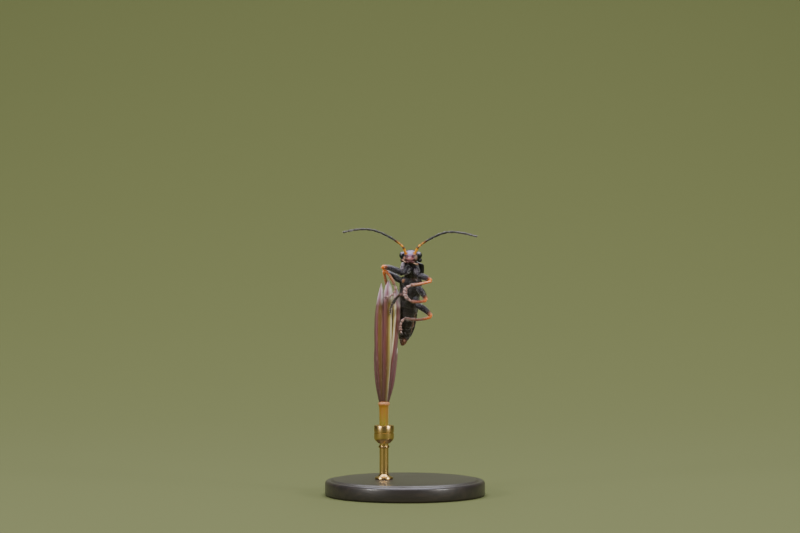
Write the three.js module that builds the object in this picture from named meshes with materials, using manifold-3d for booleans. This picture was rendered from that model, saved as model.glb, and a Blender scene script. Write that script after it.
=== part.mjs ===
// A soldier beetle clasping the tip of a grass spike, life size, on a small display stand.
// Millimetres, +Z up, and the viewer looks along +Y at the beetle's underside, its head up.
// The origin is the centre of the stand's underside. The beetle's left is on the viewer's right.
import * as THREE from "three";
import { mergeVertices } from "three/addons/utils/BufferGeometryUtils.js";
import Module from "manifold-3d";

const wasm = await Module();
wasm.setup();
const { Manifold, Mesh: SolidMesh } = wasm;

const GAP = 0.12; // clear space between two pieces that meet
const FINE = 0.003; // joined surfaces are smoothed of edges shorter than this

// How the beetle hangs: the trunk's own z runs towards the head and its y towards the back, and
// the head's own z runs towards the mouth and its y towards the crown.
const TILT = THREE.MathUtils.degToRad(15);
const LEAN = THREE.MathUtils.degToRad(5.5);
const TRUNK_PLACE = [0.53, -0.3, 20.6];
const HEAD_NOD = THREE.MathUtils.degToRad(30);
const HEAD_TURN = THREE.MathUtils.degToRad(-7);
const HEAD_PLACE = [0.57, -1.62, 23.87];

// The trunk, along its own z
const PROTHORAX = { low: 1.28, high: 2.72, halfWidth: [0.86, 0.02, 0.66], belly: [0.66, 0.08, 0.5] };
const MESOTHORAX = { low: 0.5, high: 1.14, halfWidth: [1.02, 0, 0.86], belly: [0.74, 0.02, 0.62] };
const METATHORAX = { low: -1.04, high: 0.38, halfWidth: [0.98, 0.08, 1.02], belly: [0.72, 0.1, 0.74] };
const ABDOMEN = { low: -5.95, high: -1.16, halfWidth: 0.97, belly: 0.74, back: 0.7, rings: 7, bend: 0.22 };
const PRONOTUM = { rear: 1.3, length: 1.58, halfWidth: 1.22, top: 0.88, crown: 0.36, thick: 0.5 };
const ELYTRON = { front: 1.18, length: 6.3, halfWidth: 1.17, top: 0.95, fall: 0.62, thick: 0.5 };
const SCUTELLUM = { z: 0.98, radius: 0.26, top: 1.0, thick: 0.5 };

// The head, along its own z
const SKULL = { rear: -0.72, mouth: 0.78, halfWidth: 0.87, flat: 0.7 };
const EYE = { x: 0.8, y: 0.12, z: 0.02, radius: 0.34 };
const ANTENNA = {
  foot: [0.4, 0.34, 0.14],
  thick: 0.48,
  tip: 0.34,
  orange: 0.26, // share of its length
  joints: [0.1, 0.16, 0.26, 0.36, 0.46, 0.56, 0.655, 0.745, 0.835, 0.92, 1],
};
const NECK = { thick: 1.0, sunk: 0.15 };
const JAW = { foot: [0.3, -0.2, 0.62], bend: [0.26, -0.22, 0.86], tip: [-0.04, -0.22, 0.96], thick: 0.3 };
const PALP = { foot: [0.2, -0.3, 0.45], elbow: [0.46, -0.56, 0.62], tip: [0.42, -0.8, 0.4], thick: 0.24 };
const SIDES = { left: 1, right: -1 }; // of the beetle, along the head's own x

// The feelers, each through these places after its socket on the head
const ANTENNAE = {
  left: [[1.08, -2.25, 24.42], [1.42, -2.32, 24.9], [2.57, -2.4, 25.63], [4.1, -2.65, 26.24],
    [5.63, -3.1, 26.15], [7.11, -3.7, 25.78]],
  right: [[0.0, -2.25, 24.4], [-0.34, -2.32, 24.95], [-1.64, -2.4, 25.83], [-3.17, -2.6, 26.45],
    [-4.7, -3.0, 26.5], [-6.14, -3.6, 26.2]],
};

// The legs. The coxa's root is in the trunk's frame and the other joints are in the stand's.
const LEG = {
  coxa: 0.6,
  trochanter: 0.5,
  femur: 0.58,
  tibia: 0.48,
  tarsus: 0.44,
  toe: 0.3,
  lobe: 1.25, // the fourth joint of the foot is this much broader
  tarsusJoints: [0.3, 0.5, 0.67, 0.84, 1],
  claw: 0.17,
};
const LEGS = {
  front_right: {
    root: [-0.3, -0.36, 1.8],
    hip: [-0.1, -1.72, 22.1],
    knee: [-2.33, -1.55, 22.83],
    ankle: [-1.05, -1.35, 21.05],
    foot: [[-0.88, -1.25, 20.6], [-1.1, -1.18, 20.2], [-1.45, -1.1, 19.92], [-1.85, -1.0, 19.8]],
    claws: [-2.1, -0.8, 19.62],
  },
  front_left: {
    root: [0.3, -0.36, 1.8],
    hip: [1.25, -1.72, 21.95],
    knee: [2.62, -2.2, 21.4],
    ankle: [0.6, -3.3, 21.0],
    foot: [[-0.02, -3.42, 20.72], [-0.12, -3.45, 20.33], [-0.04, -3.45, 19.98], [0.1, -3.42, 19.7]],
    claws: [0.3, -3.3, 19.45],
  },
  middle_right: {
    root: [-0.36, -0.4, 0.72],
    hip: [-0.35, -1.1, 21.35],
    knee: [-2.15, -0.35, 22.45],
    ankle: [-1.75, 0.95, 20.6],
    foot: [[-1.7, 1.05, 20.15], [-1.66, 1.05, 19.75], [-1.66, 1.0, 19.4], [-1.68, 0.95, 19.1]],
    claws: [-1.72, 0.78, 18.8],
  },
  middle_left: {
    root: [0.36, -0.4, 0.6],
    hip: [1.2, -1.42, 20.85],
    knee: [2.1, -1.6, 19.45],
    ankle: [0.62, -2.78, 19.38],
    foot: [[0.24, -2.85, 19.72], [0.08, -2.85, 20.02], [0.08, -2.85, 20.35], [0.14, -2.82, 20.62]],
    claws: [0.25, -2.72, 20.9],
  },
  hind_right: {
    root: [-0.4, -0.36, -0.66],
    hip: [-0.02, -1.3, 19.6],
    knee: [-0.42, -2.2, 20.1],
    ankle: [-1.18, -1.2, 19.2],
    foot: [[-1.38, -1.02, 18.92], [-1.45, -0.94, 18.68], [-1.47, -0.92, 18.45], [-1.46, -0.9, 18.22]],
    claws: [-1.43, -0.78, 17.95],
  },
  hind_left: {
    root: [0.42, -0.36, -0.66],
    hip: [1.12, -1.05, 19.05],
    knee: [2.65, -1.15, 17.85],
    ankle: [-0.02, -1.1, 17.7],
    foot: [[-0.35, -0.98, 17.4], [-0.44, -0.86, 17.0], [-0.44, -0.72, 16.6], [-0.4, -0.6, 16.25]],
    claws: [-0.3, -0.42, 15.95],
  },
};

// The grass: the stem, and the husks of the top spikelet from foot to tip
const STEM = { x: -2.1, radius: 0.52, top: 9.4, ring: 0.62 };
const HUSK_FOOT = 9.15;
const HUSK_LEVELS = [0, 0.3, 0.68, 1];
const SLIM = [[0.02, 0.68], [0.1, 0.74], [0.3, 0.9], [0.55, 1], [0.8, 0.88], [0.92, 0.44], [0.98, 0.14]];
const BROAD = [[0.02, 0.68], [0.1, 0.74], [0.3, 0.88], [0.55, 0.97], [0.87, 0.95], [0.945, 0.6],
  [0.985, 0.18]];
const BROAD_HUSKS = [
  { width: 0.94, spine: [[-2.06, -0.2], [-1.82, -0.42], [-1.74, -0.46], [-1.63, -0.3]], tip: 21.6 },
  { width: 0.82, spine: [[-1.95, -0.05], [-1.42, -0.22], [-0.87, -0.3], [-0.84, -0.24]], tip: 20.9 },
];
const SLIM_HUSKS = [
  { width: 1.08, spine: [[-2.25, -0.08], [-2.5, -0.24], [-2.55, -0.28], [-2.36, -0.16]], tip: 21.2 },
  { width: 0.9, spine: [[-2.15, 0.1], [-2.42, 0.24], [-2.46, 0.26], [-2.2, 0.14]], tip: 20.6 },
  { width: 0.9, spine: [[-2.05, 0.2], [-1.82, 0.36], [-1.62, 0.38], [-1.46, 0.2]], tip: 21.0 },
  { width: 0.76, spine: [[-1.98, 0.1], [-1.52, 0.16], [-1.2, 0.16], [-0.98, 0.06]], tip: 19.6 },
  { width: 0.7, spine: [[-2.35, -0.02], [-2.7, -0.04], [-2.78, -0.02], [-2.72, 0]], tip: 16.4 },
  { width: 0.66, spine: [[-1.85, -0.02], [-1.38, 0], [-1.1, 0], [-0.82, 0]], tip: 15.2 },
];

// The stand
const BASE = { radius: 8, height: 1.6, foot: 0.15, shoulder: 1.2, bead: 0.35, drop: 0.1, groove: 0.18 };
const ROD = { radius: 0.45, sunk: 1.0, top: 5.3 };
const FLANGE = { radius: 0.9, rim: 0.12, neck: 0.22, height: 0.4 };
const RING = { radius: 0.56, middle: 4.84, flat: 0.05, half: 0.1 };
const CUP = { radius: 1.0, foot: 0.7, flare: 0.4, floor: 0.5, height: 1.7, rim: 0.12 };

// Turns a list of numbers, or a vector, into a vector.
const vec = (p) => (p.isVector3 ? p.clone() : new THREE.Vector3(...p));

// Moves every vertex of a geometry to where bend() puts it.
function reshape(geometry, bend) {
  const places = geometry.attributes.position;
  const at = new THREE.Vector3();
  for (let i = 0; i < places.count; i += 1) {
    bend(at.fromBufferAttribute(places, i));
    places.setXYZ(i, at.x, at.y, at.z);
  }
  return geometry;
}

// A closed geometry as a solid that can be joined and cut.
function solid(geometry) {
  const bare = new THREE.BufferGeometry();
  bare.setAttribute("position", geometry.attributes.position);
  bare.setIndex(geometry.index);
  const merged = mergeVertices(bare, 1e-5);
  return new Manifold(
    new SolidMesh({
      numProp: 3,
      vertProperties: merged.attributes.position.array,
      triVerts: new Uint32Array(merged.index.array),
    }),
  );
}

// The largest closed surface of a solid, which drops loose scraps and fills sealed hollows.
function largest(made) {
  const bodies = made.decompose();
  return bodies.reduce((a, b) => (b.volume() > a.volume() ? b : a));
}

// One named sub-part, from solids that are joined, less the solids that it has to stay clear of.
function piece(name, material, joined, cutters = []) {
  let made = joined.length > 1 ? Manifold.union(joined) : joined[0];
  if (cutters.length) made = made.subtract(Manifold.union(cutters));
  made = largest(largest(made).simplify(FINE));
  const { vertProperties, triVerts } = made.getMesh();
  const geometry = new THREE.BufferGeometry();
  geometry.setAttribute("position", new THREE.BufferAttribute(new Float32Array(vertProperties), 3));
  geometry.setIndex(new THREE.BufferAttribute(new Uint32Array(triVerts), 1));
  const mesh = new THREE.Mesh(geometry, material);
  mesh.name = name;
  return mesh;
}

// Parts two forms that meet at a joint, or the two ends of one form, with a thin cut across it.
// The heading runs from the first form to the second.
function cutApart(first, second, joint, heading) {
  const normal = heading.clone().normalize();
  const level = normal.dot(joint);
  const kept = first.trimByPlane(normal.clone().negate().toArray(), GAP / 2 - level);
  const rest = second.trimByPlane(normal.toArray(), level + GAP / 2);
  return [kept, rest];
}

const finish = (color, roughness, metalness = 0) =>
  new THREE.MeshStandardMaterial({ color, roughness, metalness });
const MATERIALS = {
  black: finish(0x14110f, 0.35),
  shell: finish(0x1d1a18, 0.55),
  shield: finish(0x2a2420, 0.4),
  orange: finish(0xd8741c, 0.45),
  foot: finish(0x8a5340, 0.55),
  eye: finish(0x08080c, 0.15),
  jaw: finish(0x4a160c, 0.3),
  husk: finish(0x7c4f58, 0.7),
  straw: finish(0x8d8a2c, 0.65),
  brass: finish(0xb08d4f, 0.3, 0.9),
  plinth: finish(0x2b2724, 0.5),
};

// A round form along a smooth line through some places. The outline lists shares of its length
// with its half-thickness there. A flat other than 1 squeezes it along the way that it faces, and
// grow makes the whole form larger by that much, which is how room is cut for it.
function limb({ through, outline, sides = 8, flat = 1, face = [0, -1, 0], grow = 0 }) {
  const path = new THREE.CatmullRomCurve3(through.map(vec), false, "centripetal");
  const length = path.getLength();
  const points = outline.map(([share, half]) => new THREE.Vector2(half > 0 ? half + grow : 0, share));
  return solid(
    reshape(new THREE.LatheGeometry(points, sides), (p) => {
      const beyond = p.y < 0.02 ? -grow : p.y > 0.98 ? grow : 0;
      const along = p.y + beyond / length;
      const inside = THREE.MathUtils.clamp(along, 0, 1);
      const heading = path.getTangentAt(inside);
      const centre = path.getPointAt(inside).addScaledVector(heading, (along - inside) * length);
      const across = new THREE.Vector3().crossVectors(heading, vec(face)).normalize();
      const facing = new THREE.Vector3().crossVectors(across, heading);
      const depth = p.z * flat + Math.sign(p.z) * Math.min(grow, Math.abs(p.z)) * (1 - flat);
      p.copy(centre.addScaledVector(across, p.x).addScaledVector(facing, depth));
    }),
  );
}

// An outline with rounded ends: parts lists shares of the length with shares of the thickness.
const rounded = (thick, parts) => [
  [0, 0],
  [0.012, 0.28 * thick * parts[0][1]],
  ...parts.map(([share, part]) => [share, 0.5 * thick * part]),
  [0.988, 0.28 * thick * parts.at(-1)[1]],
  [1, 0],
];

// The outline of a jointed limb: each joint swells from a narrow foot to a broad end.
function jointed(ends, thickAt) {
  const rings = ends.flatMap((end, i) => {
    const start = i ? ends[i - 1] : 0;
    const step = end - start;
    return [
      [start + 0.1 * step, 0.35 * thickAt(start, i)],
      [start + 0.38 * step, 0.48 * thickAt(start + 0.4 * step, i)],
      [end - 0.1 * step, 0.5 * thickAt(end, i)],
    ];
  });
  return [[0, 0], ...rings, [1, 0]];
}

// A barrel of the trunk between two levels. Each size lists its value at the low end, what is
// added half way, and its value at the high end.
function barrel({ low, high, halfWidth, belly, back = [0.6, 0, 0.6] }, grow = 0) {
  const blend = ([a, extra, b], t) => a + (b - a) * t + extra * Math.sin(Math.PI * t) + grow;
  return solid(
    reshape(new THREE.CylinderGeometry(1, 1, 1, 22, 4), (p) => {
      const t = p.y + 0.5;
      const deep = blend(p.z < 0 ? belly : back, t);
      p.set(-p.x * blend(halfWidth, t), p.z * deep, low - grow + (high - low + 2 * grow) * t);
    }),
  );
}

// The abdomen: rings that lap over one another and narrow to a tip that bends to one side.
function abdomenForm(grow = 0) {
  const { low, high, halfWidth, belly, back, rings, bend } = ABDOMEN;
  const fullness = (v) => Math.sqrt(1 - (0.05 + 0.94 * v) ** 2.1);
  const lap = (v) => 0.04 * ((v * rings) % 1);
  const steps = 3 * rings;
  return solid(
    reshape(new THREE.CylinderGeometry(1, 1, 1, 22, steps), (p) => {
      const v = 0.5 - p.y;
      const share = v * 0.999;
      const full = fullness(share) * (0.96 + lap(share));
      const deep = (p.z < 0 ? belly : back) * (1 - 0.25 * v);
      const z = high + grow - (high - low + 2 * grow) * v;
      p.set(-p.x * (halfWidth * full + grow) - bend * v * v * v, p.z * (deep * full + grow), z);
    }),
  );
}

// A curved plate made from a box. Its surfaces are given by u, from -1 to 1 across the plate,
// and v, from 0 to 1 along it.
function plate(across, along, over, under) {
  return solid(
    reshape(new THREE.BoxGeometry(2, 1, 1, across, 1, along), (p) => {
      const surface = p.y > 0 ? over : under;
      p.set(...surface(p.x, p.z + 0.5));
    }),
  );
}

// The shield over the prothorax: a low dome whose broad side margins turn up a little.
function shieldForm(grow = 0) {
  const { rear, length, halfWidth, top, crown, thick } = PRONOTUM;
  const surface = (u, v, lift) => {
    const corner = Math.abs(2 * v - 1) ** 5;
    const wide = (halfWidth + grow) * (1 - 0.12 * corner) * (1 - 0.08 * v);
    const side = THREE.MathUtils.smoothstep(Math.abs(u), 0.1, 0.85);
    const turn = 0.1 * THREE.MathUtils.smoothstep(Math.abs(u), 0.75, 1);
    const curve = (0.1 * (1 - v) - 0.26 * v) * u * u;
    const z = rear - grow + (length + 2 * grow) * v + curve;
    return [u * wide, top - crown * side + turn + lift, z];
  };
  const over = (u, v) => surface(u, v, grow);
  const under = (u, v) => surface(u, v, -grow - thick + 0.12 * Math.abs(u));
  return plate(14, 8, over, under);
}

// One wing cover, on side 1 or -1: straight along the seam, rounded at the shoulder and the tip.
function wingCoverForm(side, grow = 0) {
  const { front, length, halfWidth, top, fall, thick } = ELYTRON;
  const surface = (u, v, lift) => {
    const back = 1 - v;
    const end = THREE.MathUtils.clamp((back - 0.7) / 0.3, 0, 1);
    const round = 1 - Math.sqrt(1 - (0.96 * end) ** 2);
    const shoulder = 0.22 * Math.max(0, 1 - back / 0.07) ** 2;
    const wide = halfWidth * (1 - 0.26 * back) * (1 - shoulder);
    const outer = wide * (1 - 0.64 * round) + grow;
    const inner = GAP / 2 + 0.2 * round * end - grow;
    const x = inner + ((outer - inner) * (1 + side * u)) / 2;
    const roll = Math.min(1.06, Math.abs(x) / halfWidth);
    const droop = fall * roll ** 2.3 + 0.22 * end * end + 0.12 * v ** 14;
    const away = lift * (1 + 0.5 * roll);
    return [side * x, top - droop + away, front + grow - (length + 2 * grow) * back];
  };
  const over = (u, v) => surface(u, v, grow);
  const under = (u, v) => {
    const [x, y, z] = surface(u, v, -grow);
    return [x, y - thick, z];
  };
  return plate(7, 18, over, under);
}

// The small three-cornered plate between the roots of the wing covers.
function scutellumForm(grow = 0) {
  const { z, radius, top, thick } = SCUTELLUM;
  const prism = new THREE.CylinderGeometry(radius + 2 * grow, radius + 2 * grow, thick + 2 * grow, 3);
  return solid(reshape(prism, (p) => p.set(-p.x, p.y + top - thick / 2, z - p.z)));
}

// A ball, for the eyes.
function ball(place, radius, grow = 0) {
  const sphere = new THREE.SphereGeometry(radius + grow, 14, 8);
  return solid(sphere.translate(...place));
}

// Mirrors a place of the head for the beetle's left, side 1, or right, side -1.
const onSide = ([x, y, z], side) => [side * x, y, z];

// The frames of the trunk and the head.
const trunk = new THREE.Group();
trunk.position.set(...TRUNK_PLACE);
trunk.rotation.set(TILT, LEAN, 0, "XYZ");
trunk.updateMatrixWorld();
const head = new THREE.Group();
head.position.set(...HEAD_PLACE);
head.rotation.set(Math.PI / 2 + HEAD_NOD, 0, HEAD_TURN, "ZXY");
head.updateMatrixWorld();

// A solid of the stand's frame, as it lies in the frame of a group.
const seenFrom = (group, made) => made.transform(group.matrixWorld.clone().invert().toArray());
// A solid of a group's frame, as it lies in the stand's frame.
const placedBy = (group, made) => made.transform(group.matrixWorld.toArray());

// The forms of one leg. Its coxa and trochanter belong to the femur's piece.
function legForms(leg, grow = 0) {
  const root = trunk.localToWorld(vec(leg.root));
  const coxaOutline = rounded(LEG.coxa, [[0.12, 0.9], [0.5, 1], [0.85, 0.8], [0.95, 0.6]]);
  const coxa = limb({ through: [root, leg.hip], outline: coxaOutline, grow });
  const before = vec(leg.hip).lerp(root, 0.12);
  const beyond = vec(leg.hip).lerp(vec(leg.knee), 0.2);
  const trochanterOutline = rounded(LEG.trochanter, [[0.15, 0.8], [0.5, 1], [0.85, 0.8]]);
  const trochanter = limb({ through: [before, beyond], outline: trochanterOutline, grow });
  const femurShares = [[0.05, 0.7], [0.2, 0.92], [0.5, 1], [0.8, 0.9], [0.95, 0.8]];
  const femurOutline = rounded(LEG.femur, femurShares);
  const femur = limb({ through: [leg.hip, leg.knee], outline: femurOutline, grow });
  const tibiaShares = [[0.04, 0.8], [0.12, 0.92], [0.5, 0.9], [0.85, 1], [0.96, 1]];
  const tibiaOutline = rounded(LEG.tibia, tibiaShares);
  const tibia = limb({ through: [leg.knee, leg.ankle], outline: tibiaOutline, grow });
  const thickAt = (share, joint) => {
    const lobed = joint === 3 ? LEG.lobe : 1;
    return lobed * THREE.MathUtils.lerp(LEG.tarsus, LEG.toe, share);
  };
  const tarsus = limb({
    through: [leg.ankle, ...leg.foot],
    outline: jointed(LEG.tarsusJoints, thickAt),
    flat: 0.85,
    grow,
  });
  const wrist = vec(leg.foot.at(-1));
  const reach = vec(leg.claws).sub(wrist);
  const spread = new THREE.Vector3().crossVectors(reach, vec([0, -1, 0])).normalize();
  const claws = [-1, 1].map((side) => {
    const bow = wrist.clone().addScaledVector(reach, 0.55).addScaledVector(spread, 0.14 * side);
    const tip = wrist.clone().add(reach).addScaledVector(spread, 0.1 * side);
    const start = wrist.clone().addScaledVector(reach, -0.3);
    const outline = rounded(LEG.claw, [[0.1, 1], [0.7, 0.8]]);
    return limb({ through: [start, bow, tip], outline, sides: 6, grow });
  });
  return { coxa, trochanter, femur, tibia, tarsus, claws };
}

// Unit step from one place to another.
const towards = (from, to) => vec(to).sub(vec(from)).normalize();

// The three pieces of one leg, parted at the knee and the ankle by cuts that halve the bend.
function legPieces(name, leg) {
  const { coxa, trochanter, femur, tibia, tarsus, claws } = legForms(leg);
  const kneeTurn = towards(leg.hip, leg.knee).add(towards(leg.knee, leg.ankle));
  const ankleTurn = towards(leg.knee, leg.ankle).add(towards(leg.ankle, leg.foot[0]));
  const [upper, shin] = cutApart(femur, tibia, vec(leg.knee), kneeTurn);
  const [lower, foot] = cutApart(shin, tarsus, vec(leg.ankle), ankleTurn);
  return [
    piece(`leg_${name}_femur`, MATERIALS.black, [coxa, trochanter, upper]),
    piece(`leg_${name}_tibia`, MATERIALS.orange, [lower]),
    piece(`leg_${name}_tarsus`, MATERIALS.foot, [foot, ...claws]),
  ];
}

// The places that a feeler runs through, from its socket on the head.
function antennaPlaces(side) {
  const foot = head.localToWorld(vec(onSide(ANTENNA.foot, SIDES[side])));
  return [foot, ...ANTENNAE[side].map(vec)];
}

// A whole feeler, in the stand's frame.
function antennaForm(side, grow = 0) {
  const { thick, tip, joints } = ANTENNA;
  const thickAt = (share) => THREE.MathUtils.lerp(thick, tip, share);
  return limb({ through: antennaPlaces(side), outline: jointed(joints, thickAt), sides: 7, grow });
}

// A feeler in two pieces: the first joints are orange, and the rest is black.
function antennaPieces(side) {
  const path = new THREE.CatmullRomCurve3(antennaPlaces(side), false, "centripetal");
  const whole = antennaForm(side);
  const joint = path.getPointAt(ANTENNA.orange);
  const [base, whip] = cutApart(whole, whole, joint, path.getTangentAt(ANTENNA.orange));
  const eyes = Object.values(SIDES).map((half) => placedBy(head, eyeForm(half, GAP)));
  return [
    piece(`antenna_${side}_base`, MATERIALS.orange, [base], eyes),
    piece(`antenna_${side}_flagellum`, MATERIALS.black, [whip]),
  ];
}

// The head capsule with its neck, upper lip and feeling palps.
function headForms(grow = 0) {
  const { rear, mouth, halfWidth, flat } = SKULL;
  const shares = [[0, 0], [0.02, 0.39], [0.1, 0.62], [0.22, 0.78], [0.36, 0.94], [0.5, 1], [0.62, 0.92],
    [0.74, 0.76], [0.86, 0.62], [0.95, 0.48], [0.985, 0.3], [1, 0]];
  const skull = limb({
    through: [[0, 0, rear], [0, -0.08, mouth]],
    outline: shares.map(([share, part]) => [share, part * halfWidth]),
    sides: 18,
    flat,
    face: [0, 1, 0],
    grow,
  });
  const neckEnd = head.worldToLocal(trunk.localToWorld(vec([0, 0.02, PROTHORAX.high - NECK.sunk])));
  const neck = limb({
    through: [[0, -0.1, -0.15], neckEnd],
    outline: rounded(NECK.thick, [[0.1, 1], [0.6, 1], [0.9, 0.95]]),
    sides: 14,
    face: [1, 0, 0],
    grow,
  });
  const lip = limb({
    through: [[0, 0, 0.35], [0, -0.12, 0.86]],
    outline: rounded(0.86, [[0.2, 1], [0.7, 0.95], [0.92, 0.8]]),
    sides: 12,
    flat: 0.42,
    face: [0, 1, 0],
    grow,
  });
  const palps = [-1, 1].map((side) =>
    limb({
      through: [onSide(PALP.foot, side), onSide(PALP.elbow, side), onSide(PALP.tip, side)],
      outline: rounded(PALP.thick, [[0.2, 0.8], [0.45, 0.9], [0.6, 0.75], [0.85, 1.15]]),
      sides: 6,
      face: [1, 0, 0],
      grow,
    }),
  );
  return [skull, neck, lip, ...palps];
}

const eyeForm = (side, grow = 0) => ball(onSide([EYE.x, EYE.y, EYE.z], side), EYE.radius, grow);

const jawForm = (side, grow = 0) =>
  limb({
    through: [JAW.foot, JAW.bend, JAW.tip].map((place) => onSide(place, side)),
    outline: rounded(JAW.thick, [[0.15, 1], [0.5, 0.9], [0.85, 0.5]]),
    sides: 7,
    face: [0, 1, 0],
    grow,
  });

function headPieces() {
  const sides = Object.entries(SIDES);
  const jaws = sides.map(([name, side]) => {
    const half = jawForm(side).trimByPlane([side, 0, 0], GAP / 2);
    return piece(`mandible_${name}`, MATERIALS.jaw, [half]);
  });
  const eyes = sides.map(([name, side]) => piece(`eye_${name}`, MATERIALS.eye, [eyeForm(side)]));
  const room = sides.flatMap(([name, side]) => {
    const feeler = seenFrom(head, antennaForm(name, GAP));
    return [eyeForm(side, GAP), jawForm(side, GAP), feeler];
  });
  return [piece("head", MATERIALS.black, headForms(), room), ...eyes, ...jaws];
}

// The trunk's own solids, from front to back, which the grass also has to stay clear of.
const trunkForms = (grow = 0) => ({
  prothorax: barrel(PROTHORAX, grow),
  mesothorax: barrel(MESOTHORAX, grow),
  metathorax: barrel(METATHORAX, grow),
  abdomen: abdomenForm(grow),
});

function trunkPieces() {
  const legRoom = Object.values(LEGS).flatMap((leg) => {
    const { coxa, trochanter, femur } = legForms(leg, GAP);
    return [coxa, trochanter, femur].map((form) => seenFrom(trunk, form));
  });
  const headRoom = headForms(GAP).map((form) => seenFrom(trunk, placedBy(head, form)));
  const roof = [wingCoverForm(1, GAP), wingCoverForm(-1, GAP), shieldForm(GAP), scutellumForm(GAP)];
  const under = Object.entries(trunkForms()).map(([name, form]) =>
    piece(name, MATERIALS.black, [form], [...legRoom, ...headRoom, ...roof]),
  );
  return [
    ...under,
    piece("pronotum", MATERIALS.shield, [shieldForm()], headRoom),
    piece("scutellum", MATERIALS.shell, [scutellumForm()]),
    piece("elytron_left", MATERIALS.shell, [wingCoverForm(1)], [scutellumForm(GAP), ...legRoom]),
    piece("elytron_right", MATERIALS.shell, [wingCoverForm(-1)], [scutellumForm(GAP), ...legRoom]),
  ];
}

// One husk of the spikelet: long, keeled and pointed.
function husk({ width, spine, tip }, shares) {
  const through = spine.map(([x, y], i) => [x, y, HUSK_FOOT + (tip - HUSK_FOOT) * HUSK_LEVELS[i]]);
  const outline = rounded(width, shares);
  return limb({ through, outline, sides: 8, flat: 0.7 });
}

function perchPieces() {
  const grips = Object.values(LEGS).flatMap((leg) => {
    const { tibia, tarsus, claws } = legForms(leg, GAP);
    return [tibia, tarsus, ...claws];
  });
  const bodyForms = [...Object.values(trunkForms(GAP)), wingCoverForm(-1, GAP)];
  const bodyRoom = bodyForms.map((form) => placedBy(trunk, form));
  const { x, radius, top, ring } = STEM;
  const foot = CUP.floor + ROD.top + GAP;
  const stemForm = (grow) => {
    const outline = [[0, 0], [0.001, radius * 0.86], [0.5, radius * 0.9], [0.86, radius * 0.95],
      [0.9, ring], [0.94, ring], [0.97, radius], [0.985, 0.3], [1, 0]];
    return limb({ through: [[x, 0, foot], [x, 0, top]], outline, sides: 12, grow });
  };
  const slim = SLIM_HUSKS.map((form) => husk(form, SLIM));
  const husks = [...slim, ...BROAD_HUSKS.map((form) => husk(form, BROAD))];
  return [
    piece("perch_stem", MATERIALS.straw, [stemForm(0)]),
    piece("perch_spikelet", MATERIALS.husk, husks, [...grips, ...bodyRoom, stemForm(GAP)]),
  ];
}

// A turned form about the rod's or the base's axis, from half-widths and heights.
const turned = (x, outline, sides) => {
  const points = outline.map(([half, z]) => new THREE.Vector2(half, z));
  const form = new THREE.LatheGeometry(points, sides).rotateX(Math.PI / 2).translate(x, 0, 0);
  return solid(form);
};

function standPieces() {
  const { radius, height, foot, shoulder, bead, drop, groove } = BASE;
  const roundEdge = [0, 30, 60, 90].map((degrees) => {
    const turn = THREE.MathUtils.degToRad(degrees);
    const rise = height - drop - shoulder;
    return [radius - bead * (1 - Math.cos(turn)), shoulder + rise * Math.sin(turn)];
  });
  const grooveFoot = [radius - bead - groove, height - groove];
  const grooveLip = [radius - bead - 2 * groove, height];
  const side = [[0, 0], [radius - foot, 0], [radius, foot]];
  const baseOutline = [...side, ...roundEdge, grooveFoot, grooveLip, [0, height]];
  const rodFoot = height - ROD.sunk;
  const rodTop = ROD.top - GAP;
  const socketFloor = rodFoot - GAP;
  const room = ROD.radius + GAP;
  const socket = [[0, socketFloor], [room, socketFloor], [room, height + 1], [0, height + 1]];
  const flangeFoot = height + GAP;
  const flange = [[ROD.radius, flangeFoot], [FLANGE.radius, flangeFoot],
    [FLANGE.radius, flangeFoot + FLANGE.rim], [RING.radius, flangeFoot + FLANGE.neck],
    [ROD.radius, flangeFoot + FLANGE.height]];
  const ring = [[ROD.radius, RING.middle - RING.half], [RING.radius, RING.middle - RING.flat],
    [RING.radius, RING.middle + RING.flat], [ROD.radius, RING.middle + RING.half]];
  const rodEnd = [[ROD.radius, rodTop], [0, rodTop]];
  const rodOutline = [[0, rodFoot], [ROD.radius, rodFoot], ...flange, ...ring, ...rodEnd];
  const cupTop = ROD.top + CUP.height;
  const cupFloor = ROD.top + CUP.floor;
  const bore = STEM.radius + GAP;
  const outside = [[0, ROD.top], [CUP.foot, ROD.top], [CUP.radius, ROD.top + CUP.flare]];
  const rim = [[CUP.radius, cupTop - CUP.rim], [CUP.radius - CUP.rim, cupTop]];
  const inside = [[bore, cupTop], [bore, cupFloor], [0, cupFloor]];
  const cupOutline = [...outside, ...rim, ...inside];
  return [
    piece("stand_base", MATERIALS.plinth, [turned(0, baseOutline, 60)], [turned(STEM.x, socket, 20)]),
    piece("stand_rod", MATERIALS.brass, [turned(STEM.x, rodOutline, 16)]),
    piece("stand_cup", MATERIALS.brass, [turned(STEM.x, cupOutline, 24)]),
  ];
}

trunk.add(...trunkPieces());
head.add(...headPieces());
const limbs = new THREE.Group();
limbs.add(...Object.entries(LEGS).flatMap(([name, leg]) => legPieces(name, leg)));
limbs.add(...antennaPieces("left"), ...antennaPieces("right"));
const beetle = new THREE.Group();
beetle.add(trunk, head, limbs);
const perch = new THREE.Group();
perch.add(...perchPieces());
const stand = new THREE.Group();
stand.add(...standPieces());
const model = new THREE.Group();
model.add(stand, perch, beetle);
export default model;
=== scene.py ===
import math

import bmesh
import bpy
from mathutils import Matrix, Vector


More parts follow.
